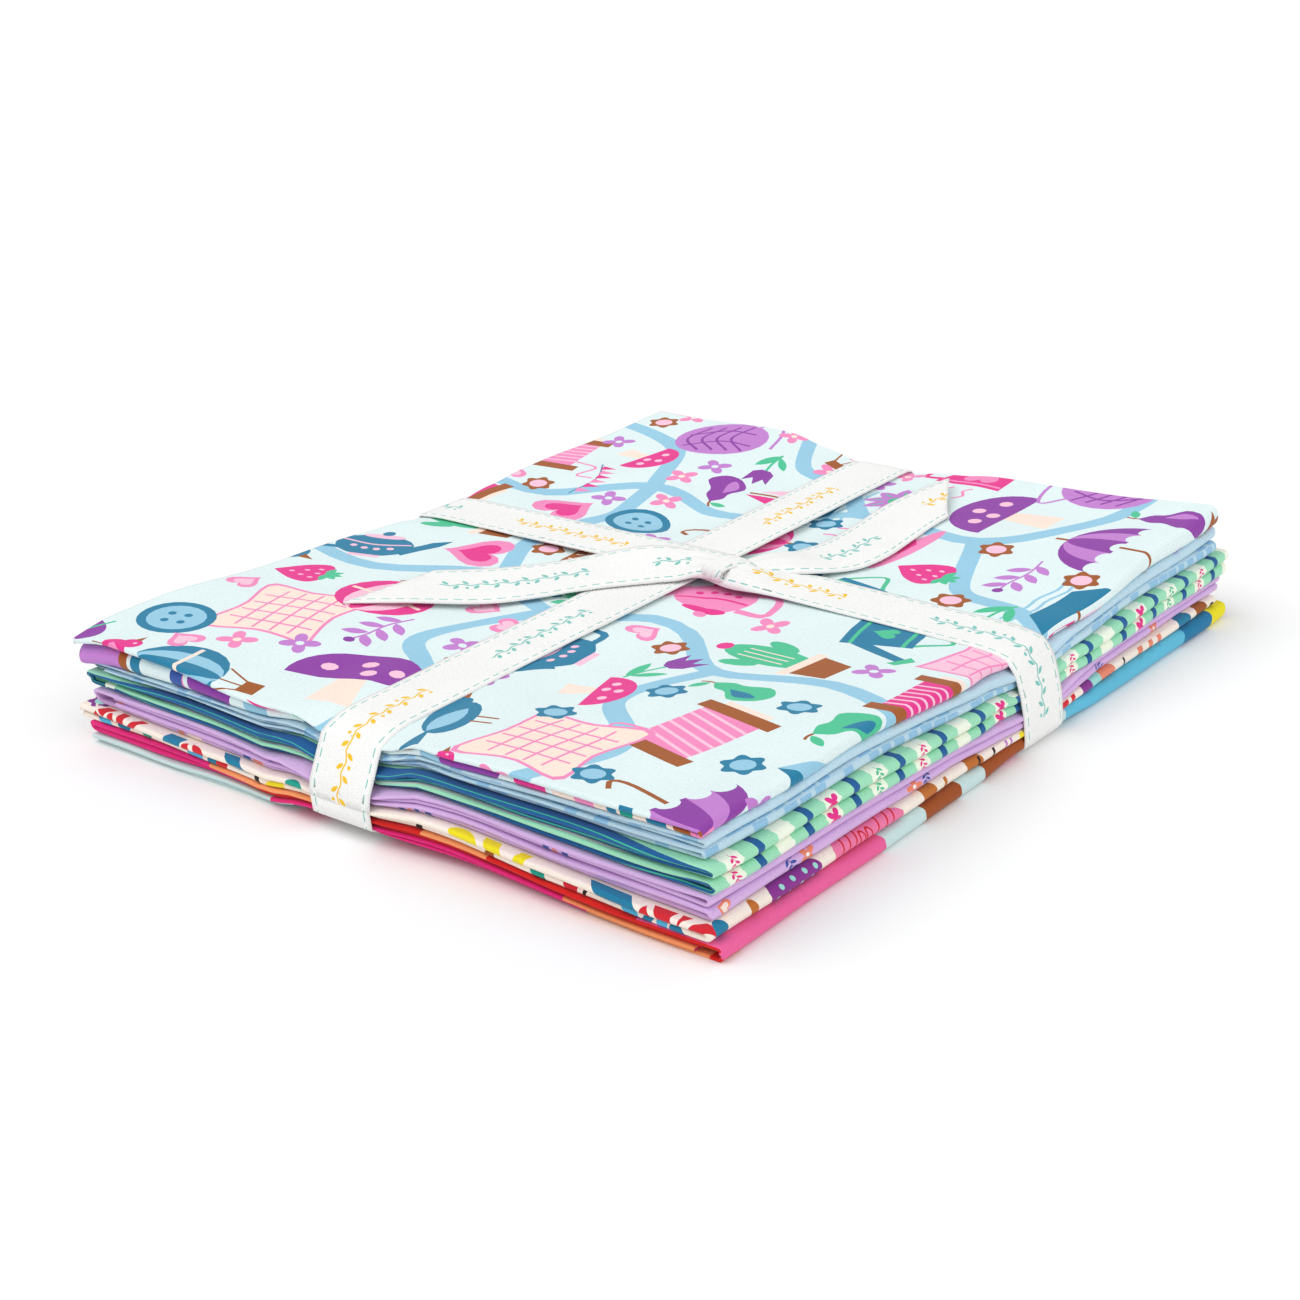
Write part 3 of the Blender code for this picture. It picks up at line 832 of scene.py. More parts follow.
    def roll_spots(
        self, roll: Stretch, along: Array, share: Array, offset: Array, reach: Array, lip: Array
    ) -> Array:
        """Places points of a rounded fold.

        Args:
            roll: The roll.
            along: The share of the way along it.
            share: The share of the way from front to back.
            offset: The ply's offset, as a share of the layer's thickness.
            reach: How far it reaches out in Y, as the same share.
            lip: The lip of a cut edge.

        Returns:
            One row of X, Y and Z for each point.
        """
        rising = roll.first > roll.last
        low, high, half = self.guess_limits
        guess_y = mix(-half, half, share)
        edge_x = np.full_like(along, high if roll.side > 0 else low)
        _, thick = self.stack.levels(self.index, edge_x, guess_y)
        ragged = self.stack.ragged
        short = mix(ragged[roll.first], ragged[roll.last], smooth(along))
        mean = mix(thick[roll.first], thick[roll.last], smooth(along))
        y = self.place_y(short, edge_x, share, mean, reach)
        centre, height, radius, upper, lower, _ = self.roll_frame(roll, roll.side, y)
        turn = math.pi * ((along - 0.5) if rising else (0.5 - along))
        up = smooth(turn / math.pi + 0.5)
        radius = radius + mix(lower, upper, up) * offset - lip
        x = centre + radius * roll.side * np.cos(turn)
        z = height + radius * np.sin(turn)
        return np.stack([x, y, z], axis=1)


def oval(
    x: float, y: float, rx: float, ry: float, turn: float = 0.0, count: int = 18,
    start: float = 0.0, end: float = 360.0,
) -> Array:
    """Draws an oval, or the part of one between two angles.

    Args:
        x: Its centre across.
        y: Its centre along.
        rx: Its half width.
        ry: Its half height.
        turn: How far it is turned, in degrees.
        count: The number of its points.
        start: The angle at which it starts, in degrees.
        end: The angle at which it ends.

    Returns:
        Its outline.
    """
    whole = end - start >= 360.0
    angles = np.radians(np.linspace(start, end, count, endpoint=not whole))
    points = np.stack([rx * np.cos(angles), ry * np.sin(angles)], axis=1)
    return turned(points, turn) + (x, y)


def turned(points: Array, degrees: float) -> Array:
    """Returns points turned about the origin."""
    a = math.radians(degrees)
    return points @ np.array([[math.cos(a), math.sin(a)], [-math.sin(a), math.cos(a)]])


def leaf(x: float, y: float, length: float, width: float, turn: float = 0.0) -> Array:
    """Draws a pointed leaf.

    Args:
        x: Its stem's place across.
        y: Its stem's place along.
        length: Its length.
        width: Its greatest width.
        turn: The way it points, in degrees.

    Returns:
        Its outline.
    """
    t = np.linspace(0.0, 1.0, 7)
    side = np.sin(t * math.pi) ** 0.8 * width / 2
    upper = np.stack([t * length, side], axis=1)
    lower = np.stack([t[1:-1][::-1] * length, -side[1:-1][::-1]], axis=1)
    return turned(np.concatenate([upper, lower]), turn) + (x, y)


def box(x: float, y: float, width: float, height: float) -> Array:
    """Returns a rectangle about a centre."""
    w, h = width / 2, height / 2
    return np.array([(-w, -h), (w, -h), (w, h), (-w, h)]) + (x, y)


def shape(*numbers: float) -> Array:
    """Returns an outline from its coordinates, x and y in turn."""
    return np.array(numbers, float).reshape(-1, 2)


def stroke(points: Sequence[Pair] | Array, width: float) -> Array:
    """Draws a line of some width as an outline.

    Args:
        points: The line's points.
        width: Its width.

    Returns:
        The outline of the line.
    """
    line = np.asarray(points, float)
    way = np.gradient(line, axis=0)
    way /= np.maximum(np.linalg.norm(way, axis=1, keepdims=True), 1e-9)
    side = np.stack([-way[:, 1], way[:, 0]], axis=1) * (width / 2)
    return np.concatenate([line + side, (line - side)[::-1]])


def curve(*numbers: float, count: int = 12) -> Array:
    """Draws a smooth line through places.

    Args:
        numbers: The places, x and y in turn.
        count: The number of its points.

    Returns:
        Its points.
    """
    nodes = np.array(numbers, float).reshape(-1, 2)
    padded = np.concatenate([[2 * nodes[0] - nodes[1]], nodes, [2 * nodes[-1] - nodes[-2]]])
    found = []
    for place in np.linspace(0.0, len(nodes) - 1.0, count):
        k = min(int(place), len(nodes) - 2)
        t = place - k
        a, b, c, d = padded[k:k + 4]
        found.append(0.5 * (2 * b + (c - a) * t + (2 * a - 5 * b + 4 * c - d) * t * t
                            + (3 * b - a - 3 * c + d) * t ** 3))
    return np.array(found)


class Ink(Enum):
    """Printing inks, as sRGB colours."""

    ICE = "#E2F2F3"
    PATH = "#96CBE4"
    TEAL = "#1A7DA3"
    HOT = "#E8308F"
    PINK = "#F48CC0"
    BLUSH = "#FBC6DD"
    PURPLE = "#8E3BA4"
    ORCHID = "#C47FD0"
    BROWN = "#A2571F"
    GREEN = "#48C495"
    PEACH = "#FCE6D8"
    SKY = "#BFDCEB"
    TILE = "#95C4E4"
    MINT = "#9FE3BE"
    MILK = "#F3FAE8"
    NAVY = "#175D9A"
    LILAC = "#D9B4E6"
    CORAL = "#F08A6E"
    ROYAL = "#3558A5"
    CREAM = "#FBEFE2"
    PLUM = "#8B2F92"
    AQUA = "#9FE0D8"
    ROSE = "#F27BA8"
    RED = "#D8202F"
    LEMON = "#F2E11A"
    JADE = "#12A08A"
    BRIGHT = "#4FB8E0"
    RUST = "#C4702A"
    BLACK = "#26201E"
    MAGENTA = "#E8207E"
    BUBBLE = "#F0629F"
    APRICOT = "#F79B63"
    SCARLET = "#D8140E"
    MIST = "#CDE6E6"
    WOOD = "#A14E1B"
    TURQUOISE = "#5FC0E0"
    DEEP = "#1379A8"
    YELLOW = "#F3E500"
    WHITE = "#F7F7F5"
    STITCH = "#7CC8C0"
    GOLD = "#F7C61F"


@dataclass
class Print:
    """What is printed on a cloth: a ground colour and flat patches, later ones on top."""

    ground: Ink
    patches: list[Patch] = field(default_factory=list)

    def add(self, outline: Array, colour: Ink) -> None:
        """Adds one patch."""
        self.patches.append((np.asarray(outline, float), colour))

    def stamp(self, motif: Sequence[Patch], at: Pair, size: float, turn: float,
              mirrored: bool = False) -> None:
        """Adds a motif drawn about the origin, at a place, a size and an angle."""
        flip = np.array([-size if mirrored else size, size])
        for outline, colour in motif:
            self.add(turned(outline * flip, turn) + at, colour)


def split_at(outline: Array, lines_u: Array, lines_v: Array) -> Array:
    """Adds a point wherever an outline crosses a line of the grid.

    Args:
        outline: The points of a closed outline.
        lines_u: Places of the grid's lines along U.
        lines_v: Places of the grid's lines along V.

    Returns:
        The outline with the added points.
    """
    found = []
    for a, b in zip(outline, np.roll(outline, -1, axis=0)):
        found.append(a)
        cuts = []
        for axis, lines in ((0, lines_u), (1, lines_v)):
            low, high = min(a[axis], b[axis]), max(a[axis], b[axis])
            if high - low > 1e-6:
                first, last = np.searchsorted(lines, [low + 1e-4, high - 1e-4])
                cuts.extend((lines[first:last] - a[axis]) / (b[axis] - a[axis]))
        for t in sorted(cuts):
            found.append(a + (b - a) * t)
    return np.array(found)


def within(points: Array, outline: Array) -> Array:
    """Finds which points lie inside an outline, however it runs over itself.

    Args:
        points: The points.
        outline: The corners of the closed outline.

    Returns:
        True for each point inside.
    """
    x, y = points[:, :1], points[:, 1:]
    (x0, y0), (x1, y1) = outline.T, np.roll(outline, -1, axis=0).T
    side = (x1 - x0) * (y - y0) - (x - x0) * (y1 - y0)
    rising = (y0 <= y) & (y1 > y) & (side > 0)
    falling = (y0 > y) & (y1 <= y) & (side < 0)
    return rising.sum(axis=1) != falling.sum(axis=1)


def cut_cloth(pattern: Print, lines_u: Array, lines_v: Array) -> tuple[Array, Array, Array]:
    """Cuts a cloth into triangles that follow its grid and the outlines of its print.

    Args:
        pattern: What is printed on it.
        lines_u: Places of the grid's lines along U.
        lines_v: Places of the grid's lines along V.

    Returns:
        The points in U and V, the triangles, and each triangle's linear colour.
    """
    across, along = np.meshgrid(lines_u, lines_v, indexing="ij")
    points = np.stack([across.ravel(), along.ravel()], axis=1)
    rows, columns = len(lines_u), len(lines_v)
    edges = [(i * columns, i * columns + columns - 1) for i in range(rows)]
    edges += [(j, (rows - 1) * columns + j) for j in range(columns)]
    low, high = points[0], points[-1]
    parts = [points]
    shown: list[Patch] = []
    count = len(points)
    for outline, colour in pattern.patches:
        if (outline.max(axis=0) <= low).any() or (outline.min(axis=0) >= high).any():
            continue
        shown.append((outline, colour))
        outline = np.clip(split_at(outline, lines_u, lines_v), low, high)
        ring = np.arange(count, count + len(outline))
        edges.extend(zip(ring.tolist(), np.roll(ring, -1).tolist()))
        parts.append(outline)
        count += len(outline)
    found = delaunay_2d_cdt([Vector(p) for p in np.concatenate(parts)], edges, [], 0, 1e-4, False)
    places = np.array([(p.x, p.y) for p in found[0]])
    triangles = np.array([f for f in found[2]])
    middles = places[triangles].mean(axis=1)
    kept = ((middles > low) & (middles < high)).all(axis=1)
    triangles, middles = triangles[kept], middles[kept]
    colours = np.tile(linear(pattern.ground.value), (len(triangles), 1))
    for outline, colour in shown:
        near = ((middles > outline.min(axis=0)) & (middles < outline.max(axis=0))).all(axis=1)
        chosen = np.flatnonzero(near)
        colours[chosen[within(middles[chosen], outline)]] = linear(colour.value)
    return places, triangles, colours


def dense_lines(marks: Sequence[Three], near: Sequence[float]) -> Array:
    """Places grid lines over stretches, closer together towards the ends of each.

    Args:
        marks: Start, end and usual spacing of each stretch. A spacing below 1 counts its steps instead.
        near: Distances from each end at which a stretch with a usual spacing gets extra lines.

    Returns:
        Sorted places.
    """
    lines: list[float] = []
    for start, end, spacing in marks:
        if spacing < 1.0:
            lines.extend(np.linspace(start, end, round(1.0 / spacing) + 1))
            continue
        lines.extend(start + d for d in near)
        lines.extend(end - d for d in near)
        inner = near[-1]
        steps = max(2, round((end - start - 2 * inner) / spacing))
        lines.extend(np.linspace(start + inner, end - inner, steps + 1))
    ordered = np.sort(np.array(lines))
    return ordered[np.concatenate([[True], np.diff(ordered) > 0.05])]


def make_mesh(name: str, spots: Array, triangles: Array, colours: Array, cloth: Array) -> bpy.types.Object:
    """Makes an object from triangles with a colour each.

    Args:
        name: The object's name.
        spots: X, Y and Z of each point, in millimetres.
        triangles: Three point numbers for each triangle.
        colours: A linear colour for each triangle.
        cloth: Each point's place on the cloth, in millimetres.

    Returns:
        The new object, linked to the scene.
    """
    data = bpy.data.meshes.new(name)
    data.vertices.add(len(spots))
    data.vertices.foreach_set("co", (spots * MM).astype(np.float32).ravel())
    data.loops.add(3 * len(triangles))
    data.loops.foreach_set("vertex_index", triangles.astype(np.int32).ravel())
    data.polygons.add(len(triangles))
    data.polygons.foreach_set("loop_start", np.arange(0, 3 * len(triangles), 3, dtype=np.int32))
    data.update(calc_edges=True)
    data.shade_smooth()
    paint = data.color_attributes.new(PRINT_NAME, "FLOAT_COLOR", "CORNER")
    paint.data.foreach_set("color", np.repeat(colours, 3, axis=0).astype(np.float32).ravel())
    places = data.uv_layers.new(name=CLOTH_MAP)
    places.data.foreach_set("uv", (cloth[triangles.ravel()] * MM).astype(np.float32).ravel())
    data.validate()
    item = bpy.data.objects.new(name, data)
    bpy.context.scene.collection.objects.link(item)
    return item


@dataclass(frozen=True)
class PrintedCloth:
    """What both cloths share: a matt surface, threads in fine relief, and the print's colour with painted
    shade between the threads and painted light on their crests.

    Fields: the material's name, the drawn distance between threads, how rough it is, its sheen and how
    strongly it reflects head on, the scale of the yarn's unevenness, the threads' weight beside it, the
    relief's strength and depth, and the painted shading of the threads: their lowest level, with the
    darkest tone (painted shade between them) and the lightest (painted light on their crests).
    """

    name: str
    pitch: float
    roughness: float
    sheen: Pair
    reflection: float
    uneven: float
    weight: float
    relief: Pair
    thread_shading: Three

    def threads(self, tree: bpy.types.NodeTree, place: bpy.types.Node) -> bpy.types.Node:
        """Adds the nodes that draw the threads and returns the last of them."""
        raise NotImplementedError

    def make(self) -> bpy.types.Material:
        """Returns the cloth's material."""
        material = bpy.data.materials.new(self.name)
        material.use_nodes = True
        tree = material.node_tree
        tree.nodes.clear()
        cloth = add_node(tree, "ShaderNodeUVMap", {"uv_map": CLOTH_MAP})
        place = add_node(tree, "ShaderNodeSeparateXYZ", links={0: cloth.outputs[0]})
        threads = self.threads(tree, place)
        slub = add_node(tree, "ShaderNodeTexNoise", {"Scale": self.uneven, "Detail": 3.0, "Roughness": 0.6},
                        {"Vector": cloth.outputs[0]})
        cloud = add_node(tree, "ShaderNodeTexNoise", {"Scale": 45.0, "Detail": 2.0},
                         {"Vector": cloth.outputs[0]})
        height = add_node(tree, "ShaderNodeMath", {"operation": "MULTIPLY_ADD", 1: self.weight},
                          {0: threads.outputs[0], 2: slub.outputs["Fac"]})
        bump = add_node(tree, "ShaderNodeBump", {"Strength": self.relief[0], "Distance": self.relief[1]},
                        {"Height": height.outputs[0]})
        tint = add_node(tree, "ShaderNodeVertexColor", {"layer_name": PRINT_NAME})
        # The threads' height scales the print's colour: painted shade between the threads and painted light
        # on their crests. The yarn's unevenness and the clouds only vary the tone at random.
        low, dark, light = self.thread_shading
        for source, limits in ((threads.outputs[0], (low, 1.0, dark, light)),
                               (slub.outputs["Fac"], (0.3, 0.7, 0.95, 1.03)),
                               (cloud.outputs["Fac"], (0.3, 0.7, 0.98, 1.02))):
            names = ("From Min", "From Max", "To Min", "To Max")
            tone = add_node(tree, "ShaderNodeMapRange", dict(zip(names, limits)), {"Value": source})
            tint = add_node(tree, "ShaderNodeVectorMath", {"operation": "SCALE"},
                            {0: tint.outputs[0], "Scale": tone.outputs[0]})
        shader = add_node(tree, "ShaderNodeBsdfPrincipled", {
            "Roughness": self.roughness, "Sheen Weight": self.sheen[0], "Sheen Roughness": self.sheen[1],
            "Specular IOR Level": self.reflection,
        }, {"Base Color": tint.outputs[0], "Normal": bump.outputs[0]})
        add_node(tree, "ShaderNodeOutputMaterial", links={"Surface": shader.outputs[0]})
        return material


@dataclass(frozen=True)
class QuiltingCotton(PrintedCloth):
    """Plain-weave quilting cotton, printed by rotary screen: matt, with a fine regular weave.

    The real threads are about 0.36 mm apart, too fine to show in the picture, so they are drawn 0.8 mm
    apart. The eye gets a dry, slightly uneven surface with soft edges of light.
    """

    pitch: float = 0.8
    roughness: float = 0.86
    sheen: Pair = (0.12, 0.5)
    reflection: float = 0.25
    uneven: float = 900.0
    weight: float = 0.6
    relief: Pair = (0.35, 0.00022)
    # Painted shade between the threads and painted light on their crests, as a level and two tones.
    thread_shading: Three = (0.0, 0.93, 1.02)

    def threads(self, tree: bpy.types.NodeTree, place: bpy.types.Node) -> bpy.types.Node:
        """Adds the nodes of a plain weave: one bulge for each crossing of two threads.

        Args:
            tree: The material's node tree.
            place: The node that gives the place on the cloth.

        Returns:
            The last of the nodes.
        """
        waves = []
        rate = math.pi / (self.pitch * MM)
        for axis in (0, 1):
            phase = add_node(tree, "ShaderNodeMath", {"operation": "MULTIPLY", 1: rate},
                             {0: place.outputs[axis]})
            waves.append(add_node(tree, "ShaderNodeMath", {"operation": "SINE"}, {0: phase.outputs[0]}))
        cell = add_node(tree, "ShaderNodeMath", {"operation": "MULTIPLY"},
                        {0: waves[0].outputs[0], 1: waves[1].outputs[0]})
        return add_node(tree, "ShaderNodeMath", {"operation": "ABSOLUTE"}, {0: cell.outputs[0]})


@dataclass(frozen=True)
class TwillRibbon(PrintedCloth):
    """White cotton twill ribbon with a printed stitch line: a fine herringbone, brighter than the cloth.

    The real twill lines are about 0.5 mm apart and are drawn 0.9 mm apart, so that they show. The
    chevron is the distance after which they turn back.
    """

    name: str = "white_twill_ribbon"
    pitch: float = 0.9
    roughness: float = 0.7
    sheen: Pair = (0.15, 0.4)
    reflection: float = 0.3
    uneven: float = 1100.0
    weight: float = 0.35
    relief: Pair = (0.5, 0.00025)
    # Painted shade in the twill's grooves and painted light on its lines, as a level and two tones.
    thread_shading: Three = (-1.0, 0.93, 1.0)
    chevron: float = 1.7

    def threads(self, tree: bpy.types.NodeTree, place: bpy.types.Node) -> bpy.types.Node:
        """Adds the nodes of a herringbone: slanted lines that turn back at even distances.

        Args:
            tree: The material's node tree.
            place: The node that gives the place on the cloth.

        Returns:
            The last of the nodes.
        """
        rate = 2.0 * math.pi / (self.pitch * MM)
        zigzag = add_node(tree, "ShaderNodeMath", {"operation": "PINGPONG", 1: self.chevron * MM},
                          {0: place.outputs[1]})
        slanted = add_node(tree, "ShaderNodeMath", {"operation": "ADD"},
                           {0: place.outputs[0], 1: zigzag.outputs[0]})
        phase = add_node(tree, "ShaderNodeMath", {"operation": "MULTIPLY", 1: rate}, {0: slanted.outputs[0]})
        return add_node(tree, "ShaderNodeMath", {"operation": "SINE"}, {0: phase.outputs[0]})


def closed(*numbers: float, count: int = 26) -> Array:
    """Returns a smooth closed outline through the given places, x and y in turn."""
    return curve(*numbers, *numbers[:2], count=count)[:-1]


def dots(places: Sequence[Pair], radius: float, tint: Ink) -> list[Patch]:
    """Returns round dots at the given places."""
    return [(oval(x, y, radius, radius, count=9), tint) for x, y in places]


def heart_line(size: float) -> Array:
    """Draws a heart.

    Args:
        size: Its half width.

    Returns:
        Its outline.
    """
    t = np.linspace(0.0, 2.0 * math.pi, 22, endpoint=False)
    x = np.sin(t) ** 3
    y = (13 * np.cos(t) - 5 * np.cos(2 * t) - 2 * np.cos(3 * t) - np.cos(4 * t)) / 16
    return np.stack([x, y], axis=1) * size


def drawing(name: str, p: Ink, q: Ink) -> list[Patch]:
    """Returns one generic drawing about the origin.

    Args:
        name: What it shows.
        p: Its first ink.
        q: Its second ink.

    Returns:
        Its patches, about two units high.
    """
    turns = np.radians(np.arange(0, 360, 10))
    scallop = .82 + .13 * np.cos(6 * turns)
    edge = closed(-.85, .8, 0, .68, .85, .8, .72, 0, .85, -.8, 0, -.68, -.85, -.8, -.72, 0, count=32)
    return {
        "teapot": [
            (stroke(curve(-.45, .3, -.95, .35, -.9, -.25, -.4, -.3), .12), p), (oval(0, -.05, .62, .5), p),
            (shape(.4, -.25, .8, .32, 1.08, .42, .95, .16, .55, -.4), p), (box(0, -.55, .5, .1), q),
            (oval(0, .4, .34, .1), q), (oval(0, .55, .1, .1, count=10), p),
            (stroke(curve(-.55, .1, 0, -.02, .55, .1), .05), q),
            *dots([(-.3, -.15), (-.1, -.22), (.1, -.22), (.3, -.15)], .06, q)],
        "cup": [
            (oval(0, -.52, .9, .15), q), (stroke(curve(.45, .15, .85, .2, .8, -.25, .4, -.2), .1), p),
            (shape(-.6, .32, .6, .32, .5, -.25, .22, -.5, -.22, -.5, -.5, -.25), p),
            (box(0, .2, 1.1, .06), q), (heart_line(.3) + (0, -.1), q),
            *[(stroke(curve(x, .45, x + .08, .6, x - .06, .78, x + .02, .95), .05), q) for x in (-.2, .15)]],
        "heart": [(heart_line(.9), p), (heart_line(.55), q)],
        "tulip": [
            (stroke(curve(0, -1, .05, -.4, 0, .2), .08), q), (leaf(0, -.95, 1.0, .3, 62), q),
            (leaf(0, -.85, .85, .26, 124), q),
            (shape(-.34, .25, -.4, .9, -.16, .6, 0, .98, .16, .6, .4, .9, .34, .25, .14, .05, -.14, .05), p)],
        "daisy": [
            *[(leaf(0, 0, .95, .4, 40 * k), p) for k in range(9)], (oval(0, 0, .3, .3, count=14), q),
            *[(stroke(np.outer((.42, .7), (math.cos(t), math.sin(t))), .05), q) for t in turns[::4]]],
        "ring_flower": [
            (np.stack([scallop * np.cos(turns), scallop * np.sin(turns)], 1), p), (oval(0, 0, .5, .5), q)],
        "small_flower": [
            *[(oval(.5 * math.cos(t), .5 * math.sin(t), .45, .3, math.degrees(t), 12), p)
              for t in np.radians((45, 135, 225, 315))], (oval(0, 0, .2, .2, count=10), q)],
        "mushroom": [
            (shape(-.16, .1, .16, .1, .3, -.85, -.3, -.85), Ink.PEACH),
            (oval(0, .05, .9, .8, start=-8, end=188), p),
            *dots([(-.45, .3), (0, .5), (.45, .28), (.1, .18)], .11, q)],
        "umbrella": [
            (stroke(curve(0, 1.05, 0, 0, 0, -.7, .12, -.92, .28, -.75), .07), Ink.BROWN),
            *[(oval(0, 0, half, .85, start=0, end=180), ink) for half, ink in ((.95, p), (.62, q), (.25, p))],
            *[(oval(x, 0, .17, .13, start=0, end=180, count=8), Ink.ICE) for x in (-.78, -.43, 0, .43, .78)]],
        "balloon": [
            *[(stroke([(x, -.35), (x * .4, -.75)], .035), Ink.BROWN) for x in (-.35, 0, .35)],
            (box(0, -.85, .34, .24), Ink.BROWN), (oval(0, .3, .72, .72, count=22), p),
            (oval(0, .3, .45, .72), q), (oval(0, .3, .17, .72), p), (box(0, .3, 1.3, .07), Ink.PEACH)],
        "bird": [
            (shape(-.45, .05, -1.05, .3, -.95, -.12), p), (oval(0, 0, .58, .38, 12), p),
            (oval(.52, .3, .26, .25), p), (shape(.74, .36, 1.02, .28, .74, .2), Ink.BROWN),
            (leaf(-.5, .08, .85, .4, -8), q), (oval(.58, .36, .05, .05, count=8), Ink.BLUSH),
            *[(stroke([(x, -.35), (x + .05, -.7)], .04), Ink.BROWN) for x in (-.05, .12)]],
        "butterfly": [
            *[(oval(s * .45, .3, .5, .36, s * 32), p) for s in (-1, 1)],
            *[(oval(s * .34, -.32, .36, .3, -s * 30), q) for s in (-1, 1)],
            *dots([(-.5, .33), (.5, .33)], .14, q), *dots([(-.36, -.34), (.36, -.34)], .1, p),
            (oval(0, 0, .07, .6, count=12), Ink.TEAL)],
        "boat": [
            (shape(-.85, -.28, .85, -.28, .5, -.72, -.5, -.72), q), (box(0, .3, .06, 1.2), Ink.BROWN),
            (shape(.08, -.18, .08, .95, .72, -.18), p), (shape(-.08, -.18, -.08, .75, -.6, -.18), Ink.BLUSH),
            *[(stroke(curve(-.9, y, -.5, y + .08, -.1, y, .3, y + .08, .8, y), .05), Ink.PATH)
              for y in (-.85, -1.0)]],
        "pear": [
            (stroke(curve(0, .6, .03, .85, .12, 1.0), .07), Ink.BROWN),
            (leaf(.05, .78, .55, .24, 12), Ink.GREEN),
            (closed(0, .72, .27, .4, .3, .05, .6, -.4, .25, -.85,
                    -.25, -.85, -.6, -.4, -.3, .05, -.27, .4), p),
            (closed(.1, .1, .4, -.35, .15, -.7, .02, -.4, count=12), q)],
        "strawberry": [
            (closed(0, -.95, .5, -.3, .65, .25, .3, .5, 0, .42, -.3, .5, -.65, .25, -.5, -.3), p),
            *[(leaf(0, .4, .45, .2, turn), Ink.GREEN) for turn in (10, 55, 90, 125, 170)],
            *[(oval(x, y, .045, .08, count=7), q) for x, y in
              ((-.3, .15), (0, .2), (.3, .15), (-.18, -.15), (.16, -.15), (0, -.48))]],
        "spool": [
            (stroke(curve(.5, -.35, .95, -.5, .8, -.95, 1.1, -1.0), .05), p), (box(0, 0, 1.0, 1.15), p),
            *[(stroke([(-.5, y), (.5, y + .16)], .05), q) for y in np.arange(-.5, .45, .17)],
            *[(box(0, y, 1.3, .24), Ink.BROWN) for y in (.68, -.68)], (box(0, .86, .8, .12), Ink.PEACH)],
        "button": [
            (oval(0, 0, .9, .9, count=24), p), (oval(0, 0, .68, .68, count=20), q),
            *dots([(-.2, -.2), (.2, -.2), (.2, .2), (-.2, .2)], .1, p)],
        "yarn": [
            (stroke(curve(.5, -.5, .9, -.85, .3, -1.0, -.4, -.92), .06), p),
            (oval(0, 0, .8, .8, count=22), p),
            *[(stroke(curve(-.6, y, 0, y + .3, .6, y), .05), q) for y in (-.45, -.2, .05, .3)],
            *[(stroke(curve(x, -.55, x + .22, 0, x, .6), .05), q) for x in (-.35, .2)]],
        "kite": [
            (stroke(curve(0, -.5, .15, -.75, -.1, -.95, .1, -1.2), .04), Ink.BROWN),
            *[(shape(0, .95, x, .25, 0, .25), ink) for x, ink in ((-.6, p), (.6, q))],
            *[(shape(x, .25, 0, .25, 0, -.5), ink) for x, ink in ((-.6, q), (.6, p))],
            *[(leaf(x, y, .22, .16, turn), p) for x, y in ((.08, -.72), (-.06, -1.0)) for turn in (15, 195)]],
        "cactus": [
            (oval(0, .15, .34, .72), p), (oval(-.42, .2, .14, .3, 18, 12), p),
            (oval(.44, .32, .13, .28, -18, 12), p),
            *[(stroke([(x, -.2), (x, .55)], .03), Ink.PEACH) for x in (-.12, .02, .16)],
            (shape(-.42, -.4, .42, -.4, .3, -1.0, -.3, -1.0), q), (box(0, -.42, .98, .16), Ink.PEACH),
            (oval(0, .9, .14, .12, count=10), Ink.HOT)],
        "sprig": [
            (stroke(curve(0, -1, .08, -.3, 0, .4, .05, .85), .06), p),
            *[(leaf(.04, y, .62, .26, turn), p) for y, turn in
              ((-.7, 35), (-.5, 145), (-.2, 35), (0, 145), (.3, 40), (.45, 140))],
            (oval(.05, .88, .13, .13, count=10), q)],
        "watering_can": [
            (stroke(curve(-.45, .35, -.9, .4, -.95, -.2, -.45, -.35), .09), q),
            (stroke(curve(-.35, .4, 0, .85, .35, .4), .07), q),
            (shape(.35, -.3, .85, .45, 1.0, .35, .5, -.45), p),
            (shape(.75, .5, 1.1, .25, 1.15, .38, .88, .6), q),
            (shape(-.45, .42, .42, .42, .52, -.6, -.55, -.6), p),
            (box(0, .28, .86, .06), q), (box(0, -.45, 1.0, .06), q), (heart_line(.2) + (0, -.08), q)],
        "cushion": [
            (edge * 1.08, q), (edge, p),
            *[(stroke([(x, -.66), (x, .66)], .04), q) for x in (-.45, -.15, .15, .45)],
            *[(stroke([(-.7, y), (.7, y)], .04), q) for y in (-.42, -.14, .14, .42)]],
        "basket": [
            (stroke(curve(-.7, 0, -.5, .75, .5, .75, .7, 0), .07), p),
            *[(oval(x, .12, .2, .2, count=12), ink) for x, ink in
              ((-.45, Ink.HOT), (-.1, Ink.PURPLE), (.25, Ink.HOT), (.52, Ink.PINK))],
            (shape(-.82, 0, .82, 0, .6, -.85, -.6, -.85), p),
            *[(stroke([(-half, y), (half, y)], .045), q) for half, y in ((.72, -.2), (.66, -.4), (.6, -.6))],
            *[(stroke([(x, -.05), (x * .8, -.8)], .04), q) for x in (-.5, -.25, 0, .25, .5)]],
        "pennants": [
            (stroke(curve(-1.2, .25, 0, -.05, 1.2, .25, count=14), .04), Ink.TEAL),
            *[(shape(x - .16, .18 * x * x, x + .16, .18 * x * x, x, .18 * x * x - .42), (p, q)[k % 2])
              for k, x in enumerate((-.9, -.54, -.18, .18, .54, .9))]],
        "spot": [(oval(0, 0, .9, .6), p)],
        "bar": [(box(0, 0, 1.6, .7), p)],
        "seed": [(oval(0, 0, .3, .4, count=8), p)],
    }[name]


def drawings(rows: str) -> list[list[Patch]]:
    """Returns drawings from rows of a name and two inks, separated by commas."""
    return [drawing(name, Ink[p], Ink[q]) for name, p, q in map(str.split, rows.split(","))]


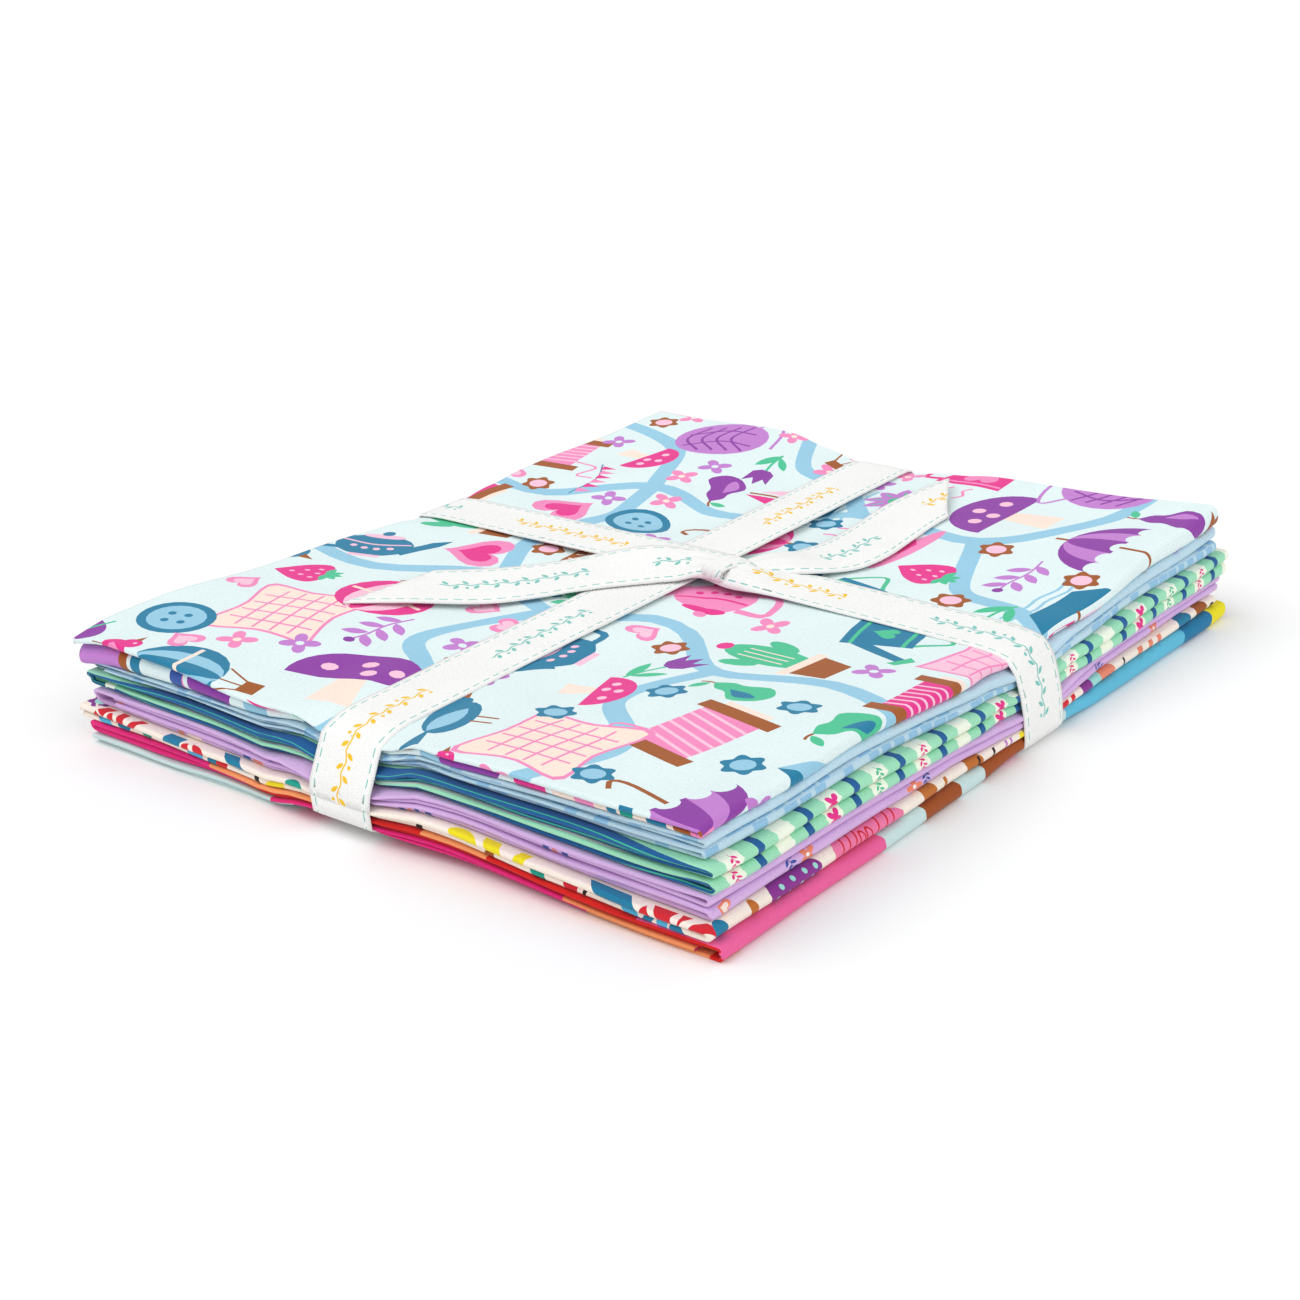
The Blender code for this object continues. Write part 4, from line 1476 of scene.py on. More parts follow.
@dataclass
class GardenPrint:
    """The top cotton's print: generic garden and sewing-box drawings between winding blue paths.

    Fields: the seed of the scatter, the tries for each drawing, the share of its radius that it keeps
    from a path and from its neighbours, how far it leans, the width and the course of the paths, and the
    drawings in three sizes, each with its two inks.
    """

    seed: int = 5
    tries: int = 160
    room: Pair = (0.62, 0.86)
    lean: float = 24.0
    path_width: float = 6.2
    paths: tuple[tuple[float, ...], ...] = (
        (-135, 52, -92, 44, -62, 70, -22, 66, 12, 88, 58, 80, 84, 112, 92, 160),
        (12, 88, -8, 112, -30, 118, -52, 160),
        (-135, -34, -88, -44, -50, -22, -18, -40, 20, -26, 52, -52, 88, -44, 135, -70),
        (-18, -40, -34, -78, -10, -108, -22, -160), (52, -52, 44, -84, 66, -112, 50, -160),
        (58, 80, 74, 44, 100, 36, 135, 8), (-62, 70, -78, 104, -110, 118, -135, 112),
        (-50, -22, -64, 8, -58, 40, -62, 70))

    big: str = (
        "teapot TEAL BLUSH, cushion BLUSH PINK, balloon HOT BLUSH, basket BROWN PEACH, "
        "umbrella PURPLE ORCHID, yarn ORCHID PURPLE, boat HOT TEAL, watering_can TEAL GREEN, "
        "spool PINK BLUSH, cup HOT PINK, mushroom PURPLE BLUSH, kite TEAL PATH, cactus GREEN BROWN, "
        "bird TEAL PATH, butterfly PURPLE ORCHID, umbrella HOT PINK, cushion PEACH PINK, "
        "teapot PINK HOT, balloon TEAL PATH, basket BROWN BLUSH, spool HOT BLUSH")
    small: str = (
        "tulip HOT GREEN, daisy ORCHID GREEN, button TEAL PATH, pear GREEN TEAL, strawberry HOT BLUSH, "
        "sprig ORCHID PURPLE, heart PINK HOT, pennants PINK HOT, sprig GREEN TEAL, bird HOT PINK, "
        "mushroom HOT BLUSH, pear PURPLE ORCHID, tulip PURPLE GREEN, button HOT BLUSH, pennants PATH TEAL")
    tiny: str = (
        "small_flower ORCHID ICE, ring_flower BROWN BLUSH, heart PINK BLUSH, small_flower PINK PEACH, "
        "ring_flower TEAL PATH")

    def draw(self, sheet: FoldedSheet) -> Print:
        """Draws the print.

        Args:
            sheet: The folded sheet, which says where its upper face and its edges lie.

        Returns:
            The print.
        """
        pattern = Print(Ink.ICE)
        u0, v0 = sheet.u_at(0, 0.0), sheet.v_at(0.0)
        lines = [curve(*path, count=40) for path in self.paths]
        for line in lines:
            pattern.add(stroke(line * (-1.0, 1.0) + (u0, v0), self.path_width), Ink.PATH)
        routes = np.concatenate(lines)
        draw = np.random.default_rng(self.seed)
        placed: list[Three] = []
        sizes = ((self.big, 21.0, 2), (self.small, 13.0, 3), (self.tiny, 6.5, 12))
        for motif, radius in [(d, size) for rows, size, times in sizes for d in drawings(rows) * times]:
            for _ in range(self.tries):
                x, y = draw.uniform(-128, 128), draw.uniform(-152, 152)
                clear = np.hypot(routes[:, 0] - x, routes[:, 1] - y).min() > radius * self.room[0] + 2.0
                apart = all(math.hypot(x - a, y - b) > (radius + r) * self.room[1] for a, b, r in placed)
                if clear and apart:
                    turn = draw.choice((0.0, 90.0, 180.0, 270.0)) + draw.uniform(-self.lean, self.lean)
                    placed.append((x, y, radius))
                    pattern.stamp(motif, (u0 - x, v0 + y), radius, turn, bool(draw.integers(2)))
                    break
        log.info("garden print: %d drawings", len(placed))
        return pattern


def marked(rows: str) -> list[Mark]:
    """Reads marks from text.

    Args:
        rows: An ink and the two ends of each of its stretches, for each row between commas.

    Returns:
        The marks in their order.
    """
    found = []
    for ink, *ends in map(str.split, rows.split(",")):
        places = list(map(float, ends))
        found.extend((first, last, Ink[ink]) for first, last in zip(places[::2], places[1::2]))
    return found


@dataclass
class EdgePrint:
    """Draws what shows of a print along the folds of one cotton.

    Fields: the folded sheet, the print that is drawn on, and the tries of a scatter.
    """

    sheet: FoldedSheet
    pattern: Print
    tries: int = 6000

    def front(self, layer: int, marks: Sequence[Mark], reach: float = 5.0, slant: float = 0.0,
              v: float | None = None, uneven: int = 0) -> None:
        """Adds plain stretches of colour along a layer's front fold.

        Args:
            layer: The thick layer.
            marks: Each stretch's two ends in X and its ink.
            reach: How far each stretch reaches to either side of the fold.
            slant: How far its ends lean along the fold.
            v: The fold's place along the cloth, if it isn't the front one.
            uneven: A seed that makes the stretches lean and curve by chance, or 0.
        """
        v = self.sheet.plies.nose_at if v is None else v
        draw = np.random.default_rng(uneven)
        for first, last, ink in marks:
            a, b = sorted((self.sheet.u_at(layer, first), self.sheet.u_at(layer, last)))
            lean, aside, kind = draw.uniform(-4.5, 4.5), draw.uniform(-1.6, 1.6), draw.random()
            if not uneven:
                self.pattern.add(shape(a - slant, v - reach, b - slant, v - reach, b + slant, v + reach,
                                       a + slant, v + reach), ink)
            elif kind < 0.5:
                self.pattern.add(oval((a + b) / 2, v + aside, (b - a) * 0.56, reach * 0.8, 5.0 * lean), ink)
            else:
                edge = curve(a - lean, v - reach, a, v + aside, a + lean, v + reach, count=6)
                self.pattern.add(np.concatenate([edge, (edge + (b - a, 0.0))[::-1]]), ink)

    def side(self, layers: set[int], marks: Sequence[Mark], reach: float = 7.0, slant: float = 0.0,
             round_ends: bool = False) -> None:
        """Adds stretches of colour along the roll of two layers.

        Args:
            layers: The two layers.
            marks: Each stretch's two ends in Y and its ink.
            reach: How far each stretch reaches to either side of the roll.
            slant: How far its ends lean, or how far an oval is turned in degrees.
            round_ends: True for ovals.
        """
        u = self.sheet.roll_of(layers).middle
        for first, last, ink in marks:
            a, b = self.sheet.v_at(first), self.sheet.v_at(last)
            if round_ends:
                self.pattern.add(oval(u, (a + b) / 2, reach, (b - a) / 2, slant), ink)
            else:
                self.pattern.add(shape(u - reach, a - slant, u - reach, b - slant, u + reach, b + slant,
                                       u + reach, a + slant), ink)

    def scatter(self, drawings: Sequence[list[Patch]], radius: float, seed: int, spacing: float,
                where: Callable[[float, float], bool]) -> None:
        """Scatters small drawings wherever they may go.

        Args:
            drawings: The drawings, used in turn.
            radius: Their radius.
            seed: The seed of the scatter.
            spacing: The least distance between their middles.
            where: Says of a place in U and V whether a drawing may go there.
        """
        draw = np.random.default_rng(seed)
        placed: list[Pair] = []
        for _ in range(self.tries):
            u = draw.uniform(0.0, self.sheet.length)
            v = draw.uniform(0.0, self.sheet.plies.length)
            if where(u, v) and all(math.hypot(u - a, v - b) > spacing for a, b in placed):
                motif = drawings[len(placed) % len(drawings)]
                self.pattern.stamp(motif, (u, v), radius * draw.uniform(0.85, 1.15), draw.uniform(0.0, 360.0))
                placed.append((u, v))

    def near_fold(self, reach: float) -> Callable[[float, float], bool]:
        """Marks out the places near the left rolls or ends, or near the folds at the back.

        Args:
            reach: How near they lie.

        Returns:
            A test for a place in U and V.
        """
        places = self.sheet.roll_middles[1:2] + [0.0, self.sheet.length]
        plies = self.sheet.plies

        def test(u: float, v: float) -> bool:
            """Says whether a place is near one of those folds.

            Args:
                u: The place in U.
                v: The place in V.

            Returns:
                True near one.
            """
            on_outer = plies.ends[2] < v < plies.ends[3]
            by_back = abs(v - plies.back_at) < reach or v < reach
            by_side = on_outer and any(abs(u - place) < reach for place in places)
            return by_back or by_side

        return test


def garden_edges(edges: EdgePrint) -> None:
    """Adds what shows of the top cotton's print on its puffed lower fold.

    Args:
        edges: The top cotton's folds and its print.
    """
    i = Ink
    edges.front(1, marked("ORCHID -118 -93, BROWN -93 -89.5, TEAL -88 -84, PINK -71 -66, PATH -43 -36, "
                          "TEAL -25 -19, PATH 20 30, HOT 54 64, PEACH 66 104, PINK 73 79, "
                          "TEAL 83 86 95 101, BROWN 103 108, PINK 108 112"),
                reach=7.0, slant=1.5)
    v = edges.sheet.plies.nose_at
    for x, half, ink in ((-56, 8.5, i.PURPLE), (39, 10.5, i.PURPLE), (-69, 2.5, i.ROYAL), (89, 2.0, i.JADE)):
        edges.pattern.add(oval(edges.sheet.u_at(1, x), v - 1.0, half, 6.0), ink)
    edges.front(0, marked("BROWN 111.5 114, TEAL 88 92"), reach=2.0)
    tip = (edges.sheet.u_at(0, -111.0), edges.sheet.v_at(-134.0))
    edges.pattern.add(oval(*tip, 8.0, 5.5, 20.0), i.PURPLE)
    edges.pattern.add(stroke([tip, (tip[0] - 5.0, tip[1] + 7.0)], 0.9), i.GREEN)


def tile_print(sheet: FoldedSheet) -> Print:
    """Draws the pale blue cotton's tone-on-tone tiles along its folds.

    Args:
        sheet: The folded sheet.

    Returns:
        The print.
    """
    pattern = Print(Ink.SKY)
    draw = np.random.default_rng(11)
    pitch_u, pitch_v = 4.6, 6.4
    plies = sheet.plies
    rolls = sheet.roll_middles
    upper = rolls[0]
    for column in range(int(sheet.length / pitch_u)):
        u = column * pitch_u
        near_roll = min(abs(u - r) for r in rolls) < 11.0 and abs(u - upper) > 9.0
        for row in range(int(plies.length / pitch_v)):
            v = (row + 0.5 * (column % 2)) * pitch_v
            near_fold = min(abs(v - plies.nose_at), abs(v - plies.back_at), v) < 7.0
            outer = plies.ends[2] - 8.0 < v < plies.ends[3] + 8.0
            kept = draw.random() < (0.68 if near_roll else 0.3)
            if kept and (near_fold or (near_roll and outer)):
                pattern.add(box(u, v, pitch_u * draw.uniform(0.8, 1.0), pitch_v * draw.uniform(0.55, 0.95)),
                            Ink.TILE)
    return pattern


@dataclass
class StripePrint:
    """The mint cotton's stripes: navy lines, mint bands with scalloped edges, and flowers on cream.

    Fields: the repeat of the stripes, the place of one navy line in Y, the half widths of the navy
    lines and of the mint bands, how far from its folds the inside of a layer is still printed, and for
    each layer how far the stripes shift and how much broader the navy lines are.
    """

    repeat: float = 20.7
    navy_at: float = -139.6
    navy_half: float = 1.35
    mint_half: float = 6.7
    hidden_from: float = 14.0
    by_layer: tuple[Pair, ...] = ((2.2, 2.3), (0.9, 1.2), (-4.6, 0.0), (2.0, 0.9))

    def draw(self, sheet: FoldedSheet) -> Print:
        """Draws the print.

        Args:
            sheet: The folded sheet.

        Returns:
            The print.
        """
        pattern = Print(Ink.MILK)
        rolls = sheet.roll_middles
        u = np.unique(np.concatenate([np.arange(-1.0, sheet.length + 1.0, 9.0)]
                                     + [np.arange(r - 10.0, r + 10.0, 0.6) for r in rolls]))
        lean = np.zeros_like(u)
        broad = np.zeros_like(u)
        for layer, (most, more) in enumerate(self.by_layer):
            run = sheet.run_of(layer)
            inside = smooth(6.0 * (u - run.start) / run.length) * smooth(6.0 * (run.end - u) / run.length)
            lean += most * inside
            broad += more * inside
        scallop = 0.55 * np.abs(np.sin(u * math.pi / 2.3))
        count = math.ceil(sheet.plies.length / self.repeat)
        first = sheet.v_at(self.navy_at) - self.repeat * round(sheet.plies.ply / self.repeat)
        flowers = drawings("sprig HOT HOT, seed MILK MILK, small_flower HOT MAGENTA, sprig GREEN GREEN")
        marks = sheet.plies.ends
        for k in range(-1, count + 1):
            v = first + k * self.repeat
            if not (v < self.hidden_from or marks[1] - self.hidden_from < v < marks[4] + self.hidden_from):
                continue
            for half, ink, edge in ((self.mint_half, Ink.MINT, scallop), (self.navy_half, Ink.NAVY, broad)):
                low = np.stack([u, v + lean - half - edge], axis=1)
                high = np.stack([u, v + lean + half + edge], axis=1)
                pattern.add(np.concatenate([low, high[::-1]]), ink)
            for roll in rolls:
                motif = flowers[(k - round(sheet.plies.ply / self.repeat)) % 4]
                pattern.stamp(motif, (roll, v + self.repeat / 2), 3.1, 90.0 if roll is rolls[0] else 80.0)
        line = np.stack([u, sheet.v_at(self.navy_at) + lean], axis=1)
        pattern.add(stroke(line, 0.45), Ink.GREEN)
        return pattern


def lilac_print(sheet: FoldedSheet) -> Print:
    """Draws the lilac cotton's sparse little drawings along its folds.

    Args:
        sheet: The folded sheet.

    Returns:
        The print.
    """
    i = Ink
    pattern = Print(i.LILAC)
    edges = EdgePrint(sheet, pattern)
    small = drawings("small_flower CORAL WHITE, sprig ROYAL CORAL, heart CORAL PEACH")
    edges.scatter(small, 3.4, 21, 30.0, edges.near_fold(5.0))
    edges.front(3, marked("CORAL -76 -73, PEACH -72 -66, ROYAL -49 -46, CORAL -45 -41, ROYAL 12 14, "
                          "CORAL 15 16.5, ROYAL 17.5 19 21 23"), 3.0, 0.8)
    edges.front(1, marked("WHITE -42 -38, ROYAL -35 -33, WHITE -28 -24, ROYAL 61 63, CORAL 64 65.5, "
                          "ROYAL 67 69"), 3.0, 0.8)
    roll = sheet.roll_of({2, 3})
    for y, kind, size, turn in ((-131, 2, 3.0, 30), (-103, 1, 4.2, 70), (-96, 0, 3.6, 10), (-46, 0, 4.0, 50),
                                (-40, 1, 3.8, 100), (14, 2, 3.0, 10), (58, 1, 4.0, 40), (95, 0, 3.6, 0)):
        pattern.stamp(small[kind], (roll.start + 3.5, sheet.v_at(y)), size, turn)
    return pattern


def toy_print(sheet: FoldedSheet) -> Print:
    """Draws the cream cotton's bright shapes along its folds.

    Args:
        sheet: The folded sheet.

    Returns:
        The print.
    """
    i = Ink
    pattern = Print(i.CREAM)
    edges = EdgePrint(sheet, pattern)
    bright = drawings("button RED CREAM, small_flower BRIGHT TEAL, heart RED ROSE, spot JADE JADE, "
                      "bar LEMON LEMON, sprig JADE RED, ring_flower PLUM AQUA, seed BLACK BLACK")
    edges.scatter(bright, 5.5, 31, 11.5, edges.near_fold(7.0))
    edges.front(0, marked("RED -107 -103 -101 -98.5 -97 -94 -92 -89, TEAL -76 -69 -50 -44, "
                          "RED -68 -60, JADE -26 -20, LEMON 32.5 41.5 45 50.5 53.5 57, TEAL 80 93, "
                          "RED 94 106 109 114"), 4.0, uneven=3)
    edges.front(0, marked("CREAM -105 -104 -65.5 -64 97 99 103 105"), 4.0, uneven=4)
    edges.front(1, marked("BRIGHT -105 -100, TEAL -98 -93, JADE -88 -84, BRIGHT -68 -62, TEAL -60 -56, "
                          "RED -56 -52, BLACK -41 -39, LEMON -36 -28, BLACK 20 22, BROWN 43 46, "
                          "JADE 58 62.5, RED 69 73, BLACK 75 76, BRIGHT 87 92, TEAL 94 97, "
                          "BRIGHT 98 101, TEAL 102 106"), 4.0, uneven=5)
    rolls = {0, 1}
    edges.side(rolls, marked("TEAL -136 -131, RUST -122 -119"), 3.0, round_ends=True)
    edges.side(rolls, marked("PLUM -114 -92, ROSE -86 -54, RUST -44 -37 -21 -13, PLUM 44 52, "
                             "AQUA 51 58, CORAL 57 66, TEAL 108 117, BROWN 121 129"),
               7.0, 1.2, True)
    edges.side(rolls, marked("RUST -33 -31.5, BLACK -15.5 -14.5 -8.5 -7.5, ORCHID -2.5 -1.5 0 1, "
                             "LEMON 5 9, RED 30 34 36 38.5, BLACK 71.5 72.5, "
                             "CORAL 81 84 88 90.5 93.5 96"), 2.2, 0.6)
    u = sheet.roll_of(rolls).start + 3.0
    spots = ((-1.5, -8), (1.2, -6), (-1.8, -3), (1.6, -1), (-1.2, 2), (1.6, 4.2), (-1.4, 7), (1.2, 8.6))
    pattern.stamp(dots(spots, 0.85, i.AQUA), (u, sheet.v_at(-103)), 1.0, 0.0)
    for y in (-82, -79, -76, -66, -62, -59):
        pattern.add(stroke([(u - 4.5, sheet.v_at(y - 2.0)), (u + 4.5, sheet.v_at(y + 2.0))], 0.6), i.RED)
    for y in (-73, -70):
        pattern.add(oval(u, sheet.v_at(y), 2.6, 1.4), i.RED)
        pattern.add(oval(u, sheet.v_at(y), 1.8, 0.8), i.ROSE)
    return pattern


def block_print(sheet: FoldedSheet) -> Print:
    """Draws the lowest cotton's large blocks of colour.

    Args:
        sheet: The folded sheet.

    Returns:
        The print.
    """
    i = Ink
    pattern = Print(i.MAGENTA)
    edges = EdgePrint(sheet, pattern)
    sides = marked("BUBBLE -150 -65.5, MIST -65.5 -45.3, WOOD -45.3 -26.9, MIST -26.9 -14.1, "
                   "WOOD -14.1 16, MIST 16 32.1, TURQUOISE 32.1 108.7, DEEP 108.7 129.7, "
                   "YELLOW 129.7 150")
    for layers in ({0, 3}, {0, 1}, {2, 3}):
        edges.side(layers, sides if layers == {0, 3} else sides[::-1], 30.0)
    back = marked("TURQUOISE -120 -70, APRICOT -70 -22, SCARLET -22 30, MIST 30 74, YELLOW 74 120")
    for layer in range(4):
        edges.front(layer, back if layer % 2 else back[::-1], 12.0, v=sheet.plies.back_at)
    edges.front(0, marked("MAGENTA -120 -61, APRICOT -61 -2, SCARLET -2 21, APRICOT 21 43, "
                          "SCARLET 43 118"), 9.0)
    edges.front(0, marked("BUBBLE 91 120"), 4.5, v=sheet.plies.nose_at + 5.5)
    edges.front(1, marked("MAGENTA -120 -40, SCARLET -40 118"), 9.0)
    edges.front(2, marked("MIST -120 -28, MAGENTA -28 74, APRICOT 74 118"), 9.0)
    edges.front(3, marked("MIST -120 -28, MAGENTA -28 74, APRICOT 74 112, SCARLET 112 118"), 9.0)
    return pattern


def draw_prints(sheets: Sequence[FoldedSheet]) -> list[Print]:
    """Draws the print of every cotton.

    Args:
        sheets: The folded sheets, the top one first.

    Returns:
        Their prints.
    """
    garden = GardenPrint().draw(sheets[0])
    garden_edges(EdgePrint(sheets[0], garden))
    return [garden, tile_print(sheets[1]), StripePrint().draw(sheets[2]), lilac_print(sheets[3]),
            toy_print(sheets[4]), block_print(sheets[5])]


@dataclass
class FoldedCotton:
    """One cotton of the stack: its sheet, its print and its finish.

    Fields: the folded sheet, the piece's name, the print, and the grid's usual spacing: first that of
    the uppermost layer and of the outer ply, then that of the rest.
    """

    sheet: FoldedSheet
    name: str
    pattern: Print
    top_spacing: float
    spacing: float = 7.0

    def grid(self) -> tuple[Array, Array]:
        """Returns the places of the grid's lines along U and along V."""
        marks_u = []
        for part in self.sheet.stretches:
            if part.bend is Bend.ROLL:
                marks_u.append((part.start, part.end, 1.0 / (10 if part.length < 8.0 else 14)))
            else:
                marks_u.append((part.start, part.end, self.spacing if part.first else self.top_spacing))
        lines_u = dense_lines(marks_u, (0.0, 0.8, 2.0, 4.0, 7.0))
        m = self.sheet.plies.ends
        marks_v = [(m[0], m[1], 14.0), (m[1], m[2], 0.1), (m[2], m[3], self.top_spacing),
                   (m[3], m[4], 1.0 / 6.0), (m[4], m[5], 20.0), (m[5], m[6], 0.25), (m[6], m[7], 20.0)]
        lines_v = dense_lines(marks_v, (0.0, 0.7, 1.8, 3.6, 6.5))
        lip = self.sheet.plies.lip
        lines_u = np.concatenate([[-lip], lines_u, [self.sheet.length + lip]])
        lines_v = np.concatenate([[-lip], lines_v, [self.sheet.plies.length + lip]])
        return lines_u, lines_v

    def build(self, shift: Array) -> bpy.types.Object:
        """Builds the sheet.

        Args:
            shift: The way from the formulas' frame to the part's frame, in millimetres.

        Returns:
            The sheet's object.
        """
        lines_u, lines_v = self.grid()
        places, triangles, colours = cut_cloth(self.pattern, lines_u, lines_v)
        spots = self.sheet.spots(places[:, 0], places[:, 1]) + shift
        # The cloth runs the other way round unless its big roll is at the right, so its triangles turn too.
        if self.sheet.cotton.roll < 1:
            triangles = triangles[:, ::-1]
        item = make_mesh(self.name, spots, triangles, colours, places)
        item.data.materials.append(QuiltingCotton("quilting_" + self.name.removeprefix("cloth_")).make())
        log.info("%s: %d triangles, %d patches", self.name, len(triangles), len(self.pattern.patches))
        return item


def hull(points: Array) -> Array:
    """Finds the convex outline of points in a plane.

    Args:
        points: The points.

    Returns:
        Its corners, counter-clockwise from the leftmost.
    """
    places = np.unique(points.round(4), axis=0)
    ring = places[convex_hull_2d([Vector(p) for p in places])]
    return np.roll(ring, -int(np.lexsort((ring[:, 1], ring[:, 0]))[0]), axis=0)


def around(outline: Array, distance: float, step: float) -> Array:
    """Follows a closed convex outline at a distance, in even steps.

    Args:
        outline: Its corners, counter-clockwise.
        distance: How far outside it the result lies.
        step: The spacing of the result's points.

    Returns:
        A closed line whose last point is its first.
    """
    ring = []
    for before, here, after in zip(np.roll(outline, 1, axis=0), outline, np.roll(outline, -1, axis=0)):
        first, last = (math.atan2(*(q - p)) for p, q in ((before, here), (here, after)))
        sweep = (first - last) % (2.0 * math.pi)
        for k in range(max(1, math.ceil(sweep / 0.25)) + 1):
            turn = first - sweep * k / max(1, math.ceil(sweep / 0.25))
            ring.append(here + distance * np.array([math.cos(turn), -math.sin(turn)]))
    line = np.array(ring + ring[:1])
    lengths = distances(line)
    places = np.linspace(0.0, lengths[-1], max(8, round(lengths[-1] / step)) + 1)
    return np.stack([np.interp(places, lengths, line[:, k]) for k in (0, 1)], axis=1)


@dataclass
class RibbonStrip:
    """One stretch of ribbon: a line of stations with a width, a left side and an upper side.

    Fields: the stations' middles, their left and upper directions and their widths, the depth of the
    pleats where the ribbon is gathered, how far the middle arches above the edges, and how far the
    right edge is cut shorter than the left one.
    """

    middles: Array
    lefts: Array
    uppers: Array
    widths: Array
    pleats: Array
    crowns: Array
    pattern: Print
    slant: float = 0.0
    full: float = 22.0
    step: float = 2.5
    folds: float = 3.0

    def __post_init__(self) -> None:
        """Measures the strip along its middle."""
        self.places = distances(self.middles)

    @property
    def length(self) -> float:
        """Returns the strip's length."""
        return float(self.places[-1])

    def spots(self, along: Array, across: Array) -> Array:
        """Finds where places on the ribbon lie.

        Args:
            along: Places along the ribbon, in millimetres.
            across: Places across it, from minus half its full width (right) to plus half (left).

        Returns:
            One row of X, Y and Z for each place.
        """
        def read(values: Array) -> Array:
            """Returns stations' values at the given places along the ribbon."""
            if values.ndim == 1:
                return np.interp(along, self.places, values)
            return np.stack([np.interp(along, self.places, values[:, k]) for k in range(3)], axis=1)

        share = across / self.full
        wave = read(self.pleats) * np.cos(2.0 * math.pi * self.folds * share + 0.004 * along)
        arch = read(self.crowns) * (1.0 - (2.0 * share) ** 2) ** 0.65 - 0.15 * (2.0 * share) ** 4
        lateral = read(self.widths) * share + 0.12 * Ripple(7, 40.0).at(along, across)
        raised = read(self.uppers) * (wave + arch)[:, None]
        return read(self.middles) + read(self.lefts) * lateral[:, None] + raised

    def cut(self) -> tuple[Array, Array, Array, Array]:
        """Returns the strip's spots, triangles, colours and places on the ribbon."""
        half, end = self.full / 2, self.length
        waste = shape(end, half, end - self.slant, -half, end + 1.0, -half, end + 1.0, half)
        if self.slant > 0.0:
            self.pattern.add(waste, self.pattern.ground)
        lines_s = np.linspace(0.0, end, max(4, round(end / self.step)) + 1)
        places, triangles, colours = cut_cloth(self.pattern, lines_s, np.linspace(-half, half, 17))
        if self.slant > 0.0:
            kept = ~within(places[triangles].mean(axis=1), waste)
            triangles, colours = triangles[kept], colours[kept]
        return self.spots(places[:, 0], places[:, 1]), triangles, colours, places


